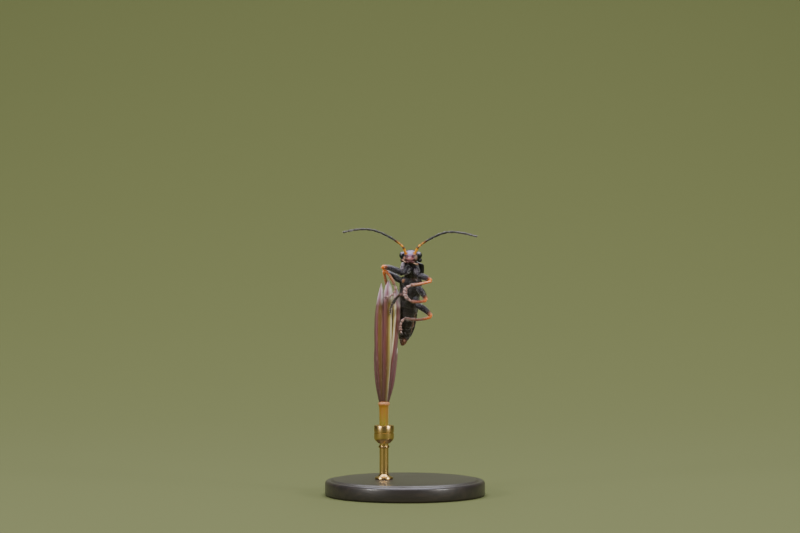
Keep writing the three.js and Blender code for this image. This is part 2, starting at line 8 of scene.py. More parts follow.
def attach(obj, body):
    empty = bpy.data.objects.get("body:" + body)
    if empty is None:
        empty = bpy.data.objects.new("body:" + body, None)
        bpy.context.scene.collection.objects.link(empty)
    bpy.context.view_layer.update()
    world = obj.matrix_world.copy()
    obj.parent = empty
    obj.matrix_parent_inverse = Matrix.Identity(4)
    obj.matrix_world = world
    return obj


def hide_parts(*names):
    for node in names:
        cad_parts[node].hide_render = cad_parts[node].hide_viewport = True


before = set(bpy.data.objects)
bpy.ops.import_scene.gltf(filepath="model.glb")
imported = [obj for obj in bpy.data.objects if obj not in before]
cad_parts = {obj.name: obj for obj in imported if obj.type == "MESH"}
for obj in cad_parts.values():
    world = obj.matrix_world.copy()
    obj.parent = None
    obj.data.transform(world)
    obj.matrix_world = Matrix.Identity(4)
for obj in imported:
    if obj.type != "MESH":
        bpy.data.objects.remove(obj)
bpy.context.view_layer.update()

# The camera stands where the photographer's did: level with the beetle, square to its underside,
# and far enough off for the picture to be 80 mm wide where the grass stands.
CAMERA_LENS = 100
CAMERA_SENSOR = 36
PICTURE_WIDTH = 0.080
PICTURE_X = -0.0005
PICTURE_Z = 0.02285

bpy.ops.object.select_all(action="DESELECT")
camera_distance = PICTURE_WIDTH * CAMERA_LENS / CAMERA_SENSOR
bpy.ops.object.camera_add(
    location=(PICTURE_X, -camera_distance, PICTURE_Z), rotation=(math.radians(90), 0, 0)
)
camera = bpy.context.object
camera.name = "camera"
camera.data.lens = CAMERA_LENS
camera.data.sensor_width = CAMERA_SENSOR
camera.data.clip_start = 0.005
camera.data.clip_end = 5
bpy.context.scene.camera = camera

# Floor and backdrop: one sheet of soft green paper that runs back and then curves up, so that no edge
# shows. Its far edge is drawn up in steps along a quarter circle.
FLOOR_SIZE = 3.2
SWEEP_START = 0.05
SWEEP_RADIUS = 0.45
SWEEP_STEPS = 20
PAPER = (0.078, 0.090, 0.018, 1)
PAPER_ROUGHNESS = 0.9

bpy.ops.mesh.primitive_plane_add(size=FLOOR_SIZE, location=(0, SWEEP_START - FLOOR_SIZE / 2, 0))
floor = bpy.context.object
floor.name = "studio_floor"
bpy.ops.object.mode_set(mode="EDIT")
bpy.ops.mesh.select_all(action="DESELECT")
sheet = bmesh.from_edit_mesh(floor.data)
for edge in sheet.edges:
    if all(end.co.y > 0 for end in edge.verts):
        edge.select_set(True)
for step in range(SWEEP_STEPS):
    turned = [math.pi / 2 * (step + more) / SWEEP_STEPS for more in (0, 1)]
    run = SWEEP_RADIUS * (math.sin(turned[1]) - math.sin(turned[0]))
    rise = SWEEP_RADIUS * (math.cos(turned[0]) - math.cos(turned[1]))
    bpy.ops.mesh.extrude_region_move(TRANSFORM_OT_translate={"value": (0, run, rise)})
bpy.ops.mesh.extrude_region_move(TRANSFORM_OT_translate={"value": (0, 0, FLOOR_SIZE / 2)})
bpy.ops.object.mode_set(mode="OBJECT")
bpy.ops.object.transform_apply()
bpy.ops.object.shade_smooth()
paper = bpy.data.materials.new("studio_paper")
paper.use_nodes = True
paper_shader = paper.node_tree.nodes["Principled BSDF"]
paper_shader.inputs["Base Color"].default_value = PAPER
paper_shader.inputs["Roughness"].default_value = PAPER_ROUGHNESS
floor.data.materials.append(paper)

# Daylight: a broad cool lamp overhead, a weaker one on each side of the camera, and one for the
# paper behind. The world gives the even light of a bright overcast day.
OVERCAST = (0.80, 0.86, 0.90, 1)
OVERCAST_STRENGTH = 0.08
AIM = Vector((0, 0, 0.02))
LAMPS = (
    ("lamp_sky", (0.0, -0.04, 0.34), 0.40, 2.9, (0.84, 0.84, 1.0)),
    ("lamp_left", (-0.30, -0.25, 0.16), 0.10, 1.1, (1.0, 0.97, 0.93)),
    ("lamp_right", (0.32, -0.22, 0.16), 0.10, 1.1, (1.0, 0.97, 0.93)),
    ("lamp_paper", (0.0, 0.25, 0.60), 0.50, 2.4, (1.0, 1.0, 1.0)),
)
for name, place, size, power, colour in LAMPS:
    bpy.ops.object.light_add(type="AREA", location=place)
    lamp = bpy.context.object
    lamp.name = name
    lamp.data.size = size
    lamp.data.energy = power
    lamp.data.color = colour
    lamp.rotation_euler = (AIM - lamp.location).to_track_quat("-Z", "Y").to_euler()

world = bpy.data.worlds.new("studio")
bpy.context.scene.world = world
world.use_nodes = True
background = world.node_tree.nodes["Background"]
background.inputs["Color"].default_value = OVERCAST
background.inputs["Strength"].default_value = OVERCAST_STRENGTH

# Stand base: a turned disc of black-stained wood with a bead round its upper edge, satin
# lacquered. It isn't in the photograph: it holds the cut length of grass.
# From here on, sizes are in millimetres, and a finished piece is brought to the frame's metres.
MM = 0.001
COAT_ROUGHNESS = 0.15
BASE_SIDES = 96
BASE_CREASE = math.radians(40)
BASE_OUTLINE = (
    (0.0, 7.85), (0.12, 7.97), (0.2, 8.0), (1.2, 8.0), (1.36, 7.95), (1.47, 7.83), (1.5, 7.65),
    (1.42, 7.45), (1.44, 7.38), (1.58, 7.25), (1.6, 7.1), (1.6, 4.0),
)


def clear():
    """Leaves edit mode and deselects everything, so that an operator acts on one piece alone."""
    if bpy.context.object and bpy.context.object.mode == "EDIT":
        bpy.ops.object.mode_set(mode="OBJECT")
    bpy.ops.object.select_all(action="DESELECT")


def take(piece):
    """Selects one piece alone and makes it active."""
    clear()
    piece.select_set(True)
    bpy.context.view_layer.objects.active = piece


def edit_all(piece):
    """Goes into edit mode with every vertex of a piece selected."""
    take(piece)
    bpy.ops.object.mode_set(mode="EDIT")
    bpy.ops.mesh.select_all(action="SELECT")


def face_outward(piece):
    """Turns every face of a piece outward."""
    edit_all(piece)
    bpy.ops.mesh.normals_make_consistent(inside=False)
    bpy.ops.object.mode_set(mode="OBJECT")


def loft(name, stations, sides):
    """A closed form drawn up ring by ring. A station is (height, half-width, half-depth, x, y)."""
    clear()
    bpy.ops.mesh.primitive_circle_add(vertices=sides, radius=1, fill_type="NGON", location=(0, 0, 0))
    made = bpy.context.object
    made.name = name
    edit_all(made)
    z, wide, deep, x, y = stations[0]
    bpy.ops.transform.resize(value=(wide, deep, 1), center_override=(0, 0, 0))
    bpy.ops.transform.translate(value=(x, y, z))
    for next_z, next_wide, next_deep, next_x, next_y in stations[1:]:
        step = (next_x - x, next_y - y, next_z - z)
        bpy.ops.mesh.extrude_region_move(TRANSFORM_OT_translate={"value": step})
        bpy.ops.transform.resize(
            value=(next_wide / wide, next_deep / deep, 1),
            center_override=(next_x, next_y, next_z),
        )
        z, wide, deep, x, y = next_z, next_wide, next_deep, next_x, next_y
    face_outward(made)
    return made


def turned_form(name, outline, sides, x=0.0):
    """A form turned about the vertical at x, from heights and half-widths."""
    return loft(name, [(z, half, half, x, 0.0) for z, half in outline], sides)


def seat(piece, material, slot, *nodes):
    """Gives a finished piece its material, unless its parts brought theirs, brings it from
    millimetres to metres, and lets it ride and stand for nodes."""
    if material:
        piece.data.materials.append(material)
    take(piece)
    bpy.ops.object.transform_apply()
    piece.scale = (MM, MM, MM)
    bpy.ops.object.transform_apply()
    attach(piece, "root")
    if nodes:
        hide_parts(*nodes)


def wire(tree, kind, inputs=(), **settings):
    """A new node in a tree. Its inputs are given as values, or as the outputs that feed them."""
    node = tree.nodes.new(kind)
    for name, value in settings.items():
        setattr(node, name, value)
    for name, value in dict(inputs).items():
        if isinstance(value, bpy.types.NodeSocket):
            tree.links.new(value, node.inputs[name])
        else:
            node.inputs[name].default_value = value
    return node


def matter(name, colour, roughness, metallic=0.0, coat=0.0):
    """A plain material, which the helpers below give its markings and its relief."""
    made = bpy.data.materials.new(name)
    made.use_nodes = True
    shader = made.node_tree.nodes["Principled BSDF"]
    shader.inputs["Base Color"].default_value = (*colour, 1)
    shader.inputs["Roughness"].default_value = roughness
    shader.inputs["Metallic"].default_value = metallic
    shader.inputs["Coat Weight"].default_value = coat
    shader.inputs["Coat Roughness"].default_value = COAT_ROUGHNESS
    return made


def grain(material, size, stretch=(1, 1, 1), detail=3.0, kind="Noise"):
    """A pattern with grains of that size in millimetres, drawn out along an axis by stretch. Its
    kind is Noise, which is cloudy, or Voronoi, which is pitted."""
    tree = material.node_tree
    place = wire(tree, "ShaderNodeTexCoord").outputs["Object"]
    per_grain = [1 / (size * MM * s) for s in stretch]
    scaled = wire(tree, "ShaderNodeMapping", {"Vector": place, "Scale": per_grain}).outputs["Vector"]
    return wire(tree, f"ShaderNodeTex{kind}", {"Vector": scaled, "Scale": 1.0, "Detail": detail}).outputs[0]


def mark(material, name):
    """The value of a piece's own attribute."""
    return wire(material.node_tree, "ShaderNodeAttribute", attribute_name=name).outputs["Fac"]


def graded(material, source, *stops):
    """Colours, or greys given as one number, spread over a source's value from 0 to 1."""
    node = wire(material.node_tree, "ShaderNodeValToRGB", {"Fac": source})
    ramp = node.color_ramp
    while len(ramp.elements) < len(stops):
        ramp.elements.new(1.0)
    for element, (position, colour) in zip(ramp.elements, stops):
        element.position = position
        element.color = (*colour, 1) if isinstance(colour, tuple) else (colour, colour, colour, 1)
    return node.outputs["Color"]


def wavered(material, source, noise, amount):
    """A value pushed a little up and down by a noise."""
    inputs = {0: noise, 1: amount, 2: source}
    return wire(material.node_tree, "ShaderNodeMath", inputs, operation="MULTIPLY_ADD").outputs[0]


def tint(material, colour, mask, *stops):
    """Lays a colour, or another pattern, over what the material has, where the mask is white. A
    mask that comes with stops is graded by them."""
    tree = material.node_tree
    base = tree.nodes["Principled BSDF"].inputs["Base Color"]
    under = base.links[0].from_socket if base.is_linked else base.default_value[:]
    over = (*colour, 1) if isinstance(colour, tuple) else colour
    where = graded(material, mask, *stops) if stops else mask
    mix = wire(tree, "ShaderNodeMix", {0: where, 6: under, 7: over}, data_type="RGBA")
    tree.links.new(mix.outputs[2], base)


def relief(material, height, depth, strength=1.0):
    """Raises the surface by a pattern, depth millimetres at most, over any relief it has."""
    tree = material.node_tree
    normal = tree.nodes["Principled BSDF"].inputs["Normal"]
    inputs = {"Height": height, "Distance": depth * MM, "Strength": strength}
    if normal.is_linked:
        inputs["Normal"] = normal.links[0].from_socket
    tree.links.new(wire(tree, "ShaderNodeBump", inputs).outputs["Normal"], normal)


base = turned_form("base_disc", BASE_OUTLINE, BASE_SIDES)
bpy.ops.object.shade_smooth_by_angle(angle=BASE_CREASE)
lacquered = matter("black_lacquer", (0.020, 0.016, 0.014), 0.42, coat=0.25)
relief(lacquered, grain(lacquered, 0.25, stretch=(12, 1, 1)), 0.01)
tint(lacquered, (0.045, 0.032, 0.024), grain(lacquered, 0.4, stretch=(10, 1, 1)), (0.4, 0.0), (0.8, 0.7))
seat(base, lacquered, "plinth", "stand_base")

# Rod and cup: one thin turned brass rod, pressed into the base through a flange, and the brass cup
# on its top that the grass stem stands in. Turned marks run round both.
GRASS_X = -2.1
METAL_SIDES = 48
METAL_CREASE = math.radians(35)
ROD_OUTLINE = (
    (0.6, 0.40), (1.6, 0.45), (1.605, 0.85), (1.68, 0.92), (1.8, 0.88), (1.86, 0.7), (1.95, 0.56),
    (2.1, 0.45), (4.7, 0.45), (4.74, 0.52), (4.84, 0.56), (4.94, 0.52), (4.98, 0.45), (5.2, 0.45),
)
CUP_OUTLINE = (
    (5.2, 0.62), (5.3, 0.7), (5.46, 0.88), (5.62, 0.98), (5.75, 1.0), (6.2, 1.0), (6.23, 0.95),
    (6.32, 0.95), (6.35, 1.0), (6.86, 1.0), (6.94, 0.97), (6.98, 0.9), (6.99, 0.72), (6.95, 0.66),
    (6.86, 0.64), (5.85, 0.63),
)
brass = matter("turned_brass", (0.60, 0.40, 0.15), 0.28, metallic=1.0)
relief(brass, grain(brass, 0.03, stretch=(60, 60, 1), detail=1.0), 0.002)
for name, outline, node_name in (
    ("brass_rod", ROD_OUTLINE, "stand_rod"),
    ("brass_cup", CUP_OUTLINE, "stand_cup"),
):
    metal = turned_form(name, outline, METAL_SIDES, GRASS_X)
    bpy.ops.object.shade_smooth_by_angle(angle=METAL_CREASE)
    seat(metal, brass, "brass", node_name)

# Grass stem: a cut length of the living stalk, ribbed along its length, olive yellow with an
# orange line, and swollen at the orange node where the spikelet sits. It stands in the cup.
STEM_SIDES = 24
STEM_RIB = 0.035
STEM_WIDTH = 1.2
STEM_OUTLINE = (
    (5.93, 0.44), (6.0, 0.46), (7.5, 0.47), (8.6, 0.49), (8.9, 0.52), (9.04, 0.6), (9.16, 0.61),
    (9.28, 0.55), (9.36, 0.4), (9.39, 0.2),
)


def pick(piece, wanted):
    """Goes into edit mode with just the vertices that wanted accepts, given each one's place."""
    take(piece)
    bpy.ops.object.mode_set(mode="EDIT")
    bpy.ops.mesh.select_mode(type="VERT")
    bpy.ops.mesh.select_all(action="DESELECT")
    shape = bmesh.from_edit_mesh(piece.data)
    for vertex in shape.verts:
        if wanted(vertex.co):
            vertex.select_set(True)
    shape.select_flush(True)
    bmesh.update_edit_mesh(piece.data)


def move(piece, wanted, by):
    """Moves the vertices that wanted accepts."""
    pick(piece, wanted)
    bpy.ops.transform.translate(value=by)
    bpy.ops.object.mode_set(mode="OBJECT")


def stretch_part(piece, wanted, share, about=(0, 0, 0)):
    """Scales the vertices that wanted accepts about a place."""
    pick(piece, wanted)
    bpy.ops.transform.resize(value=share, center_override=about)
    bpy.ops.object.mode_set(mode="OBJECT")


def swell(piece, wanted, by):
    """Raises the vertices that wanted accepts from the surface, or sinks them where by is negative."""
    pick(piece, wanted)
    bpy.ops.transform.shrink_fatten(value=by)
    bpy.ops.object.mode_set(mode="OBJECT")


def subdivide(piece, levels):
    """Rounds a piece with an applied subdivision surface, and smooths its shading."""
    take(piece)
    bpy.ops.object.modifier_add(type="SUBSURF")
    rounding = piece.modifiers[-1]
    rounding.levels = levels
    rounding.render_levels = levels
    bpy.ops.object.modifier_apply(modifier=rounding.name)
    bpy.ops.object.shade_smooth()


def around(place, x, y=0.0):
    """Which way a place lies from an axis, as a share of a full turn."""
    return (math.atan2(place.y - y, place.x - x) / math.tau) % 1.0


def note(piece, name, value):
    """Keeps a value at each point of a piece, as an attribute that its material reads."""
    kept = piece.data.attributes.new(name, "FLOAT", "POINT")
    kept.data.foreach_set("value", [value(vertex.co) for vertex in piece.data.vertices])


stem = turned_form("grass_stem", STEM_OUTLINE, STEM_SIDES, GRASS_X)
swell(stem, lambda place: round(around(place, GRASS_X) * STEM_SIDES) % 2 == 1, -STEM_RIB)
subdivide(stem, 1)
stem_foot = STEM_OUTLINE[0][0]
stem_top = STEM_OUTLINE[-1][0]
note(stem, "up", lambda place: (place.z - stem_foot) / (stem_top - stem_foot))
note(stem, "across", lambda place: 0.5 + (place.x - GRASS_X) / STEM_WIDTH)
stalk = matter("green_stalk", (0.20, 0.19, 0.008), 0.5)
up = wavered(stalk, mark(stalk, "up"), grain(stalk, 0.3, stretch=(1, 1, 4)), 0.1)
tint(stalk, (0.30, 0.15, 0.008), up, (0.3, 0.0), (0.75, 0.9))
tint(stalk, (0.36, 0.11, 0.010), grain(stalk, 0.22, stretch=(1, 1, 25)), (0.45, 0.0), (0.75, 0.8))
tint(stalk, (0.42, 0.34, 0.16), mark(stalk, "across"), (0.8, 0.0), (0.88, 0.8))
tint(stalk, (0.48, 0.20, 0.08), up, (0.92, 0.0), (0.96, 0.8))
relief(stalk, grain(stalk, 0.05, stretch=(1, 1, 30)), 0.012)
seat(stem, stalk, "grass_stem", "perch_stem")

# Spikelet: papery pointed husks that wrap one another, each keeled and finely nerved, mauve over
# olive with pale edges and bleached tips. They grow from the node, front husks over back ones.
HUSK_FOOT = 9.15
HUSK_SIDES = 28
HUSK_FLAT = 0.7
HUSK_STEPS = 60
FINE_STEPS = 24
NERVE = 0.03
NERVED_HALF = 0.15
STATION_LIFT = 1e-4
HUSK_LEVELS = (0.0, 0.3, 0.68, 1.0)
SLIM = (
    (0.0, 0.45), (0.02, 0.68), (0.06, 0.72), (0.18, 0.77), (0.3, 0.88), (0.45, 0.97), (0.6, 1.0),
    (0.72, 0.96), (0.82, 0.82), (0.9, 0.52), (0.95, 0.27), (0.98, 0.11), (1.0, 0.03),
)
BROAD = (
    (0.0, 0.45), (0.02, 0.68), (0.06, 0.72), (0.18, 0.77), (0.3, 0.88), (0.5, 0.96), (0.68, 0.95),
    (0.8, 0.94), (0.87, 0.96), (0.91, 0.84), (0.945, 0.6), (0.975, 0.3), (0.99, 0.12), (1.0, 0.03),
)
MAUVE = (0.17, 0.050, 0.062)
RED_BROWN = (0.12, 0.014, 0.012)
OLIVE = (0.13, 0.065, 0.008)
BROWN = (0.10, 0.045, 0.034)
STRAW = (0.40, 0.33, 0.07)
CREAM = (0.66, 0.58, 0.40)
GREY_MAUVE = (0.19, 0.10, 0.10)
DARK_MAUVE = (0.05, 0.012, 0.012)
HUSK_FOOT_BROWN = (0.045, 0.016, 0.012)
LILAC = (0.52, 0.33, 0.42)
WHITE = (0.86, 0.80, 0.76)
TIP_BANDS = ((0.04, WHITE), (0.2, LILAC), (0.46, (0.30, 0.12, 0.18)), (0.6, LILAC), (0.85, WHITE))
HUSK_BANDS = {
    "left": ((0.0, GREY_MAUVE), (0.14, BROWN), (0.28, MAUVE), (0.38, RED_BROWN), (0.48, OLIVE),
             (0.76, OLIVE), (0.9, MAUVE)),
    "middle": ((0.0, GREY_MAUVE), (0.14, MAUVE), (0.34, RED_BROWN), (0.62, OLIVE), (0.86, STRAW),
               (1.0, CREAM)),
    "right": ((0.0, OLIVE), (0.2, STRAW), (0.42, CREAM), (0.56, RED_BROWN), (0.75, MAUVE),
              (1.0, GREY_MAUVE)),
}
HUSKS = (
    ("left", SLIM, 1.08, ((-2.25, -0.08), (-2.5, -0.24), (-2.55, -0.28), (-2.36, -0.16)), 21.2),
    ("middle", BROAD, 0.94, ((-2.06, -0.2), (-1.82, -0.42), (-1.74, -0.46), (-1.63, -0.3)), 21.6),
    ("right", BROAD, 0.82, ((-1.95, -0.05), (-1.42, -0.22), (-0.87, -0.3), (-0.84, -0.24)), 20.9),
    ("left", SLIM, 0.90, ((-2.15, 0.1), (-2.42, 0.24), (-2.46, 0.26), (-2.2, 0.14)), 20.6),
    ("middle", SLIM, 0.90, ((-2.05, 0.2), (-1.82, 0.36), (-1.62, 0.38), (-1.46, 0.2)), 21.0),
    ("right", SLIM, 0.76, ((-1.98, 0.1), (-1.52, 0.16), (-1.2, 0.16), (-0.98, 0.06)), 19.6),
    ("left", SLIM, 0.70, ((-2.35, -0.02), (-2.7, -0.04), (-2.78, -0.02), (-2.72, 0.0)), 16.4),
    ("right", SLIM, 0.66, ((-1.85, -0.02), (-1.38, 0.0), (-1.1, 0.0), (-0.82, 0.0)), 15.2),
)


def run_through(places, count):
    """Evenly spaced places, count steps long, on a smooth line through some given places."""
    places = [Vector(place) for place in places]
    ends = [places[0] * 2 - places[1], *places, places[-1] * 2 - places[-2]]
    fine = []
    for a, b, c, d in zip(ends, ends[1:], ends[2:], ends[3:]):
        for step in range(FINE_STEPS):
            t = step / FINE_STEPS
            bend = b * 2 + (c - a) * t + (a * 2 - b * 5 + c * 4 - d) * t * t
            fine.append((bend + (b * 3 - a - c * 3 + d) * t ** 3) / 2)
    fine.append(places[-1])
    reach = [0.0]
    for here, there in zip(fine, fine[1:]):
        reach.append(reach[-1] + (there - here).length)
    found = []
    for step in range(count + 1):
        wanted = reach[-1] * step / count
        i = max(k for k in range(len(reach)) if reach[k] <= wanted + 1e-9)
        if i + 1 < len(fine):
            part = (wanted - reach[i]) / (reach[i + 1] - reach[i])
            found.append(fine[i].lerp(fine[i + 1], part))
        else:
            found.append(fine[-1])
    return found


def lie_along(piece, direction):
    """Keeps the way that a piece's down lies."""
    kept = piece.data.attributes.new("lie", "FLOAT_VECTOR", "POINT")
    kept.data.foreach_set("vector", list(direction) * len(piece.data.vertices))


def join(pieces, name):
    """Joins pieces into one."""
    take(pieces[0])
    for piece in pieces:
        piece.select_set(True)
    bpy.ops.object.join()
    pieces[0].name = name
    return pieces[0]


def husk(kind, shares, width, spine, tip):
    """One husk, drawn up along its bent spine, with nerves sunk between its ribs."""
    heights = [HUSK_FOOT + (tip - HUSK_FOOT) * level for level in HUSK_LEVELS]
    line = run_through([(x, y, z) for (x, y), z in zip(spine, heights)], HUSK_STEPS)
    stations = []
    for share, part in shares:
        centre = line[round(share * HUSK_STEPS)]
        half = width * part / 2
        stations.append((centre.z + share * STATION_LIFT, half, half * HUSK_FLAT, centre.x, centre.y))
    made = loft(f"husk_{kind}", stations, HUSK_SIDES)

    def station_at(place):
        return min(stations, key=lambda station: abs(station[0] - place.z))

    def across(place):
        height, half, deep, x, y = station_at(place)
        return 0.5 + 0.5 * max(-1.0, min(1.0, (place.x - x) / max(half, 0.01)))

    def between_ribs(place):
        height, half, deep, x, y = station_at(place)
        rounded = Vector((place.x, y + (place.y - y) / HUSK_FLAT, height))
        return half > NERVED_HALF and round(around(rounded, x, y) * HUSK_SIDES) % 2 == 1

    note(made, "across", across)
    note(made, "along", lambda place: (place.z - HUSK_FOOT) / (tip - HUSK_FOOT))
    swell(made, between_ribs, -NERVE)
    subdivide(made, 1)
    return made


husk_matter = {}
for kind, bands in HUSK_BANDS.items():
    paper_husk = matter(f"husk_{kind}", MAUVE, 0.55)
    streaks = grain(paper_husk, 0.12, stretch=(1, 1, 40))
    side = wavered(paper_husk, mark(paper_husk, "across"), streaks, 0.14)
    height = wavered(paper_husk, mark(paper_husk, "along"), streaks, 0.08)
    blotches = grain(paper_husk, 0.5, stretch=(1, 1, 6))
    nerves = grain(paper_husk, 0.05, stretch=(1, 1, 60))
    bleached = graded(paper_husk, side, *TIP_BANDS)
    tint(paper_husk, graded(paper_husk, side, *bands), 1.0)
    tint(paper_husk, OLIVE, blotches, (0.45, 0.0), (0.8, 0.55))
    # Each husk is coloured darker towards its foot.
    tint(paper_husk, HUSK_FOOT_BROWN, height, (0.05, 0.75), (0.55, 0.0))
    tint(paper_husk, bleached, height, (0.85, 0.0), (0.94, 0.75), (1.04, 0.95))
    tint(paper_husk, CREAM, nerves, (0.6, 0.0), (0.85, 0.4))
    tint(paper_husk, DARK_MAUVE, nerves, (0.15, 0.6), (0.4, 0.0))
    relief(paper_husk, nerves, 0.02)
    husk_matter[kind] = paper_husk

husks = []
for kind, shares, width, spine, tip in HUSKS:
    one = husk(kind, shares, width, spine, tip)
    one.data.materials.append(husk_matter[kind])
    husks.append(one)
spikelet = join(husks, "spikelet")
seat(spikelet, None, "grass_husk", "perch_spikelet")

# Underbody: the beetle's black trunk from its tail to its neck, one skin. The belly plates lap
# over one another towards the tail, and the breast is two broad plates with a groove between.
TRUNK_TILT = 15
TRUNK_LEAN = 5.5
TRUNK = (
    Matrix.Translation((0.53, -0.3, 20.6))
    @ Matrix.Rotation(math.radians(TRUNK_TILT), 4, "X")
    @ Matrix.Rotation(math.radians(TRUNK_LEAN), 4, "Y")
)
TRUNK_SIDES = 40
TAIL = -5.95
WAIST = -1.16
RINGS = 7
BELLY_HALF = 0.97
BELLY_DEEP = 0.72
BELLY_START = 0.05
BELLY_REST = 0.94
BELLY_TAPER = 2.1
BELLY_FLATTER = 0.25
BELLY_LAP = 0.02
PLATE_PARTS = (1.0, 0.9, 0.5, 0.05)
PLATE_TOP_WIDE = 0.82
PLATE_TOP_DEEP = 0.87
PLATE_FLARE = 0.19
PLATE_SWELL = 0.13
TAIL_BEND = 0.22
BREAST_GROOVE = (0, 0.08, 0)
BELLY_EDGE = (0, 0.05, 0)
TOWARDS_TAIL = TRUNK.to_3x3() @ Vector((0, 0, -1))
BREAST = (
    (-1.1, 0.88, 0.66, 0.0), (-1.02, 0.96, 0.7, 0.0), (-0.9, 1.0, 0.76, -0.02), (-0.5, 1.06, 0.82, -0.04),
    (0.0, 1.07, 0.83, -0.04), (0.3, 1.03, 0.78, -0.02), (0.38, 0.98, 0.72, 0.0), (0.44, 0.95, 0.68, 0.0),
    (0.5, 1.0, 0.72, 0.0), (0.8, 0.96, 0.68, 0.0), (1.08, 0.88, 0.62, 0.0), (1.16, 0.76, 0.54, 0.0),
    (1.26, 0.72, 0.5, 0.0), (1.34, 0.78, 0.56, 0.0), (1.7, 0.78, 0.58, 0.0), (2.3, 0.68, 0.5, 0.02),
    (2.62, 0.6, 0.44, 0.02), (2.72, 0.48, 0.36, 0.02), (2.74, 0.2, 0.2, 0.02),
)
TRUNK_MARKS_AND_GLINT = (
    ((-0.2, -0.1, -5.7), (0.7, 1.0, 0.75), (0.17, 0.045, 0.008)),
    # Painted highlight: a pale pink glint on the last belly plate. The other marks are the trunk's own
    # colours.
    ((-0.08, -0.35, -5.35), (0.16, 0.3, 0.2), (0.62, 0.34, 0.28)),
    ((0.85, -0.2, -3.7), (0.45, 0.6, 1.6), (0.13, 0.048, 0.025)),
    ((-0.85, -0.2, -4.4), (0.3, 0.6, 0.9), (0.10, 0.035, 0.025)),
    ((0.3, -0.5, 1.2), (0.5, 0.4, 0.25), (0.05, 0.02, 0.008)),
)


def placed(piece, where):
    """Carries a piece that was made in a body part's own frame to its place."""
    piece.data.transform(where)
    piece.data.update()


def patch(material, where, centre, size, soft=0.5):
    """A soft-edged oval mark, white inside: its centre and half-sizes are in a body part's frame."""
    tree = material.node_tree
    inputs = {
        "Vector": wire(tree, "ShaderNodeTexCoord").outputs["Object"],
        "Location": (where @ Vector(centre)) * MM,
        "Rotation": where.to_euler(),
        "Scale": [s * MM for s in size],
    }
    place = wire(tree, "ShaderNodeMapping", inputs, vector_type="TEXTURE").outputs["Vector"]
    falloff = wire(tree, "ShaderNodeTexGradient", {"Vector": place}, gradient_type="SPHERICAL")
    return graded(material, falloff.outputs["Fac"], (0.0, 0.0), (soft, 1.0))


def belly_stations():
    """The rings of the abdomen from the tail up: each is widest at the edge nearer the tail."""
    stations = [(TAIL, 0.05, 0.04, -TAIL_BEND, 0.0)]
    for ring in reversed(range(RINGS)):
        for part in PLATE_PARTS:
            share = (ring + part) / RINGS
            full = math.sqrt(1 - (BELLY_START + BELLY_REST * share) ** BELLY_TAPER)
            wide = BELLY_HALF * full * (PLATE_TOP_WIDE + PLATE_FLARE * part)
            deep = BELLY_DEEP * (1 - BELLY_FLATTER * share) * full * (PLATE_TOP_DEEP + PLATE_SWELL * part)
            z = WAIST + (TAIL - WAIST) * share
            stations.append((z + BELLY_LAP, wide, deep, -TAIL_BEND * share ** 3, 0.0))
    return stations


breast = [(z, wide, deep, 0.0, y) for z, wide, deep, y in BREAST]
skin = loft("trunk_skin", belly_stations() + breast, TRUNK_SIDES)
move(skin, lambda place: abs(place.x) < 0.1 and place.y < 0 and -1.0 < place.z < 0.34, BREAST_GROOVE)
move(skin, lambda place: abs(place.x) > 0.6 and place.z < -1.2, BELLY_EDGE)
subdivide(skin, 2)


def lap(place):
    """How far down its own belly plate a place lies, from 0 at the top to 1 at the free edge."""
    share = (WAIST + BELLY_LAP - place.z) / (WAIST - TAIL)
    return (share * RINGS) % 1.0 if 0 < share < 1 else 0.0


note(skin, "lap", lap)
lie_along(skin, TOWARDS_TAIL)
chitin = matter("black_chitin", (0.008, 0.0035, 0.0055), 0.36, coat=0.1)
edges = wavered(chitin, mark(chitin, "lap"), grain(chitin, 0.15), 0.1)
tint(chitin, (0.035, 0.016, 0.011), edges, (0.82, 0.0), (0.97, 0.8))
for centre, size, colour in TRUNK_MARKS_AND_GLINT:
    tint(chitin, colour, patch(chitin, TRUNK, centre, size))
relief(chitin, grain(chitin, 0.06, kind="Voronoi"), 0.015, 0.8)
relief(chitin, grain(chitin, 0.22, stretch=(1, 1, 2)), 0.10)
tint(chitin, (0.05, 0.022, 0.024), grain(chitin, 0.16), (0.5, 0.0), (0.8, 0.6))
placed(skin, TRUNK)
seat(skin, chitin, "body_black", "prothorax", "mesothorax", "metathorax", "abdomen")

# Pronotum: the low shield over the forebody, glossy black, with side margins that turn up a little.
# Its pale translucent margin is painted on the left side only, where it is also a painted reflection.
# A pale, streaked painted reflection lies over that side, and a pale patch at the front right. It
# sits on the prothorax and roofs the neck.
PRONOTUM_COLUMNS = 15
PRONOTUM_ROWS = 9
PRONOTUM_HALF = 1.2
PRONOTUM_REAR = 1.32
PRONOTUM_LENGTH = 1.54
PRONOTUM_TOP = 0.86
PRONOTUM_CROWN = 0.36
PRONOTUM_THICK = 0.2
PRONOTUM_RIM = 0.12
PRONOTUM_ROUNDING = 0.36
PRONOTUM_SLOPE = (0.1, 0.85)
PRONOTUM_UPTURN = (0.75, 1.0)
PRONOTUM_SWEEP = 0.1
PRONOTUM_CORNER = 0.14
PRONOTUM_NARROWING = 0.08
PRONOTUM_DIP = 0.08


def smooth_step(at, low, high):
    """Rises smoothly from 0 at low to 1 at high."""
    part = max(0.0, min(1.0, (at - low) / (high - low)))
    return part * part * (3 - 2 * part)


